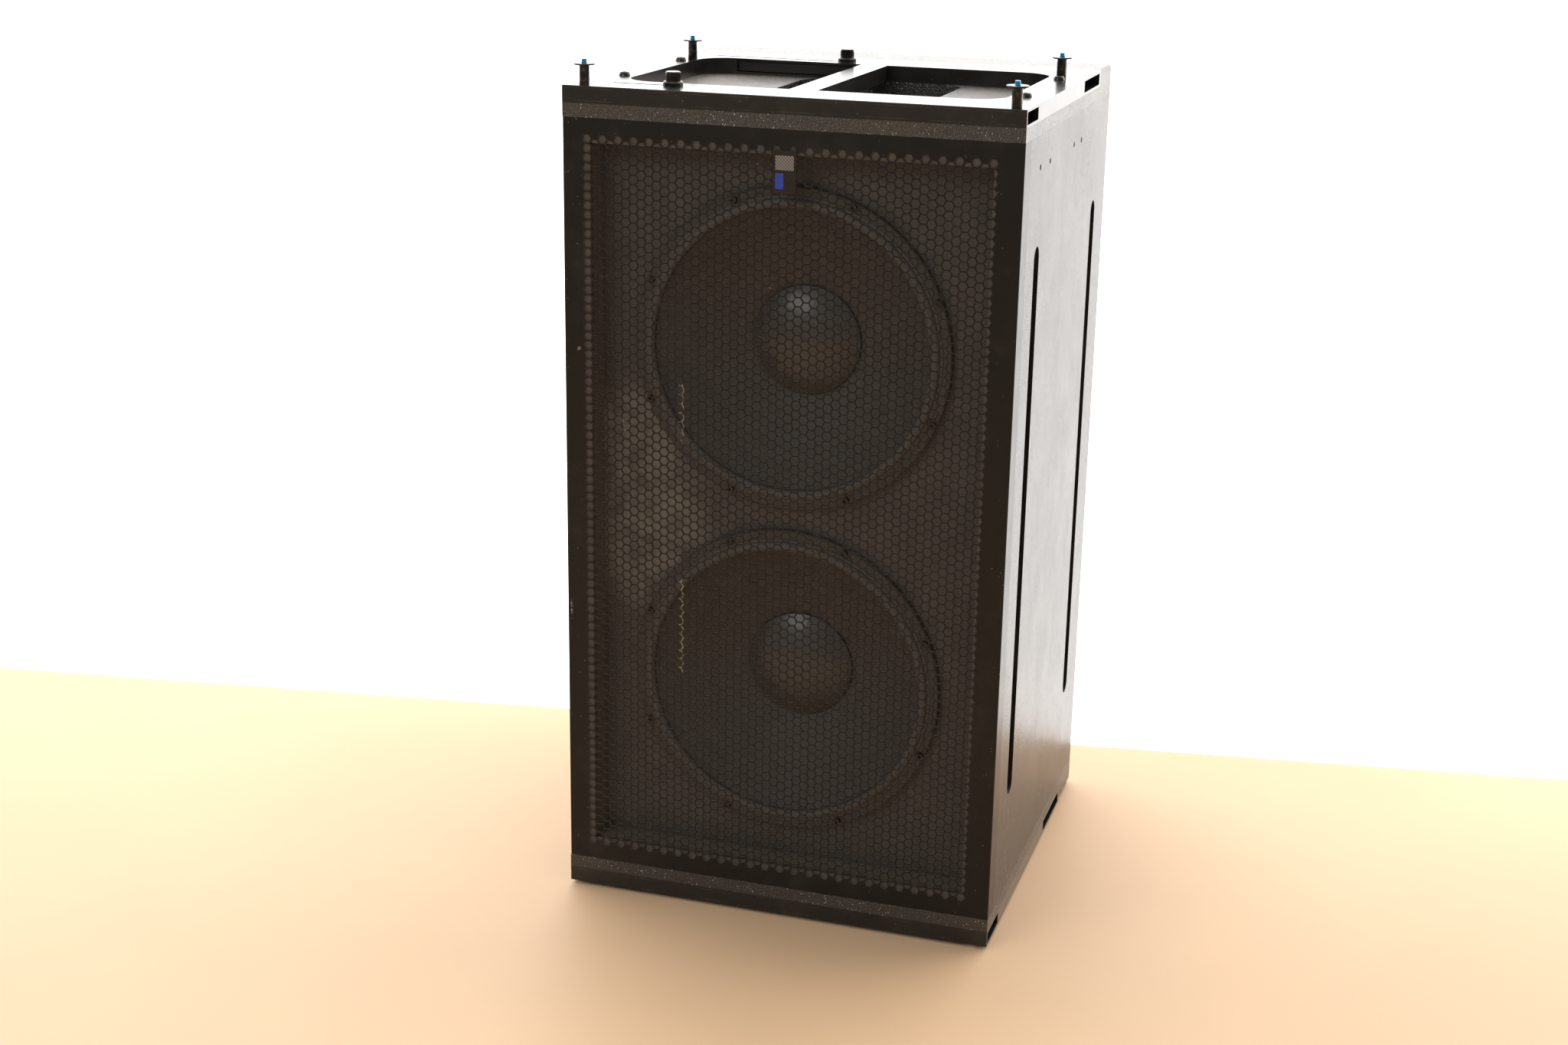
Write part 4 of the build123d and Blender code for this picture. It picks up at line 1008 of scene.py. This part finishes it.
@dataclass
class Amplifier:
    """The finned amplifier panel with its sockets, and the parts behind it."""

    dresser: Dresser
    signal_radius: float = 0.012
    signal_deep: float = 0.014
    contact_radius: float = 0.0012
    contact_circle: float = 0.0045
    contact_long: float = 0.009
    mains_deep: float = 0.016

    def build(self) -> None:
        """Dresses the amplifier's nodes and adds the contacts inside its sockets."""
        anodised = PowderCoat(name="black_anodised", roughness=0.28, fleck=0.3)
        self.dresser.dress(anodised, "amp_panel")
        self.dresser.dress(CircuitBoard(), "amp_board")
        wrap = Enamel(
            name="transformer_wrap", base=(0.30, 0.20, 0.03), dust=(0.40, 0.32, 0.12), roughness=0.35
        )
        self.dresser.dress(wrap, "amp_transformer")
        self.dresser.dress(Moulded(name="socket_plastic"), "signal_sockets")
        blue = Moulded(name="inlet_plastic", base=(0.03, 0.12, 0.42), rubbed=(0.12, 0.22, 0.5))
        self.dresser.dress(blue, "power_inlet")
        self._signal_contacts()
        self._mains_core()

    def _pin(self, x: float, back: float, z: float, long: float, radius: float) -> Surface:
        """Round contact standing out along +y from back, with a domed tip."""
        bend = np.radians(np.linspace(0, 90, 5))
        tip = np.stack([radius * np.cos(bend), long - radius + radius * np.sin(bend)], -1)
        profile = np.vstack([[[0.0, 0.0]], [[radius, 0.0]], tip])
        return turned(profile[::-1], (x, back, z), 12)

    def _signal_contacts(self) -> None:
        """Three contacts in each signal socket, on a triangle."""
        low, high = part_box("signal_sockets")
        z = (low[2] + high[2]) / 2
        back = high[1] - self.signal_deep
        parts = []
        for x in (low[0] + self.signal_radius, high[0] - self.signal_radius):
            for turn in (90, 210, 330):
                dx = self.contact_circle * math.cos(math.radians(turn))
                dz = self.contact_circle * math.sin(math.radians(turn))
                parts.append(self._pin(x + dx, back, z + dz, self.contact_long, self.contact_radius))
        contacts = make_piece("signal_contacts", *joined(parts))
        gold = WornSteel(
            name="gold_contact", dark=(0.60, 0.42, 0.16), bright=(0.85, 0.66, 0.32), roughness=0.2
        )
        self.dresser.coat(contacts, gold, "socket_plastic")

    def _mains_core(self) -> None:
        """Round insulator in the mains inlet, turned from a plain profile."""
        low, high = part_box("power_inlet")
        centre = ((low[0] + high[0]) / 2, high[1] - self.mains_deep, (low[2] + high[2]) / 2)
        rim = [(0.0055, 0.011), (0.0066, 0.0104), (0.007, 0.009)]
        profile = np.array([(0.0, 0.011), *rim, (0.007, 0.0), (0.0, 0.0)])
        core = make_piece("mains_core", *turned(profile, centre, 36))
        self.dresser.coat(core, Moulded(name="core_plastic", base=(0.03, 0.03, 0.032)), "inlet_plastic")


# Stage ----------------------------------------------------------------------------------------


@dataclass
class Studio:
    """Plain pale floor and backdrop, soft lights and the camera."""

    floor_color: Color = (0.74, 0.50, 0.30)
    paper_color: Color = (0.88, 0.88, 0.88)
    paper_left: Point = (-1.3929, 0.1285, 0.0)
    paper_right: Point = (0.9417, 0.5166, 0.0)
    paper_glow: float = 2.35
    camera_place: Point = (0.7648, -2.6848, 1.3055)
    camera_forward: Point = (-0.28509, 0.91111, -0.29767)
    camera_up: Point = (-0.10631, 0.27858, 0.95451)
    lens: float = 51.42

    def build(self) -> None:
        """Sets up everything round the object."""
        bpy.context.scene.view_settings.view_transform = "Standard"
        self._camera()
        self._world()
        self._floor()
        self._paper()
        self._lights()

    def _camera(self) -> None:
        """Camera at the viewer's place, built from its forward and up directions."""
        data = bpy.data.cameras.new("camera")
        data.lens = self.lens
        data.sensor_width = 36.0
        data.clip_end = 50.0
        camera = bpy.data.objects.new("camera", data)
        bpy.context.scene.collection.objects.link(camera)
        forward = Vector(self.camera_forward).normalized()
        right = forward.cross(Vector(self.camera_up)).normalized()
        turn = Matrix((right, right.cross(forward), -forward)).transposed()
        camera.matrix_world = Matrix.Translation(self.camera_place) @ turn.to_4x4()
        bpy.context.scene.camera = camera

    @staticmethod
    def _world() -> None:
        """Soft white surroundings: bright at the back and above, darker behind the viewer."""
        world = bpy.data.worlds.new("studio")
        world.use_nodes = True
        tree = world.node_tree
        tree.nodes.clear()
        place = tree.nodes.new("ShaderNodeTexCoord")
        split = tree.nodes.new("ShaderNodeSeparateXYZ")
        tree.links.new(place.outputs["Generated"], split.inputs[0])
        level = tree.nodes.new("ShaderNodeMapRange")
        level.interpolation_type = "SMOOTHSTEP"
        for name, value in (("From Min", -0.6), ("From Max", 0.6), ("To Min", 0.42), ("To Max", 0.95)):
            level.inputs[name].default_value = value
        tree.links.new(split.outputs[1], level.inputs["Value"])
        light = tree.nodes.new("ShaderNodeBackground")
        light.inputs["Color"].default_value = (1.0, 0.985, 0.96, 1.0)
        tree.links.new(level.outputs[0], light.inputs["Strength"])
        output = tree.nodes.new("ShaderNodeOutputWorld")
        tree.links.new(light.outputs[0], output.inputs[0])
        bpy.context.scene.world = world

    def _floor(self) -> None:
        """Plain pale floor, a flat grid."""
        span = np.linspace(-9.0, 9.0, 19)
        x, y = np.meshgrid(span, span, indexing="ij")
        points = np.stack([x, y, 0 * x], -1).reshape(-1, 3)
        floor = self._stage_mesh("floor", points, grid_faces(19, 19))
        r = Recipe("pale_floor")
        cloud = r.noise(0.6, 3.0)
        shade = tuple(c * 0.93 for c in self.floor_color)
        color = r.blend(cloud.fade(0.3, 0.7), self.floor_color, shade)
        floor.data.materials.append(r.finish(Base_Color=color, Roughness=0.55))

    def _paper(self) -> None:
        """White backdrop close behind the cabinet: seen from behind it lets everything through."""
        start, end = Vector(self.paper_left), Vector(self.paper_right)
        run = end - start
        far_left, far_right = start - run * 1.2, end + run * 1.2
        heights = np.linspace(0.0, 3.4, 8)
        x = np.linspace(far_left[0], far_right[0], 12)
        y = np.linspace(far_left[1], far_right[1], 12)
        points = np.stack(np.broadcast_arrays(x[:, None], y[:, None], heights[None, :]), -1).reshape(-1, 3)
        paper = self._stage_mesh("backdrop", points, grid_faces(12, 8))
        r = Recipe("backdrop_paper")
        front = r.node("ShaderNodeBsdfPrincipled", None, {
            "Base Color": self.paper_color, "Roughness": 0.9,
            "Emission Color": (1.0, 1.0, 1.0), "Emission Strength": self.paper_glow,
        })
        clear = r.node("ShaderNodeBsdfTransparent")
        facing = r.node("ShaderNodeNewGeometry").outputs["Backfacing"]
        mix = r.node("ShaderNodeMixShader", None, {0: facing, 1: front.outputs[0], 2: clear.outputs[0]})
        r.node_link(mix.outputs[0])
        paper.data.materials.append(r.material)

    @staticmethod
    def _stage_mesh(name: str, points: np.ndarray, faces: list[list[int]]) -> bpy.types.Object:
        """Makes a mesh that isn't part of the object."""
        mesh = bpy.data.meshes.new(name)
        mesh.from_pydata(points.tolist(), [], faces)
        thing = bpy.data.objects.new(name, mesh)
        bpy.context.scene.collection.objects.link(thing)
        return thing

    def _lights(self) -> None:
        """Soft boxes: one overhead, one at the back right and a weaker one at the front left."""
        self._soft_box("overhead", (0.2, -0.6, 3.6), (0.0, 0.0, 0.6), (3.0, 2.0), 14.0)
        self._soft_box("back_right", (3.4, 2.2, 2.2), (0.2, 0.0, 0.5), (2.6, 2.2), 20.0)
        self._soft_box("front_left", (-1.6, -3.4, 3.0), (0.0, -0.2, 0.6), (2.2, 1.2), 38.0)

    @staticmethod
    def _soft_box(name: str, place: Point, aim: Point, size: tuple[float, float], power: float) -> None:
        """Rectangular lamp at a place, turned towards a point."""
        data = bpy.data.lights.new(name, "AREA")
        data.shape = "RECTANGLE"
        data.size, data.size_y = size
        data.energy = power
        lamp = bpy.data.objects.new(name, data)
        bpy.context.scene.collection.objects.link(lamp)
        towards = Vector(aim) - Vector(place)
        lamp.matrix_world = Matrix.Translation(place) @ towards.to_track_quat("-Z", "Y").to_matrix().to_4x4()


def main() -> None:
    """Builds the scene."""
    logging.basicConfig(level=logging.INFO, format="%(name)s: %(message)s")
    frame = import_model()
    Studio().build()
    dresser = Dresser(frame["nodes"])
    Cabinet(dresser).dress()
    RiggingFrames(dresser).dress()
    HexGrille(dresser).build()
    Badge(dresser).build()
    Drivers(dresser).dress()
    Amplifier(dresser).build()


if __name__ == "__main__":
    main()
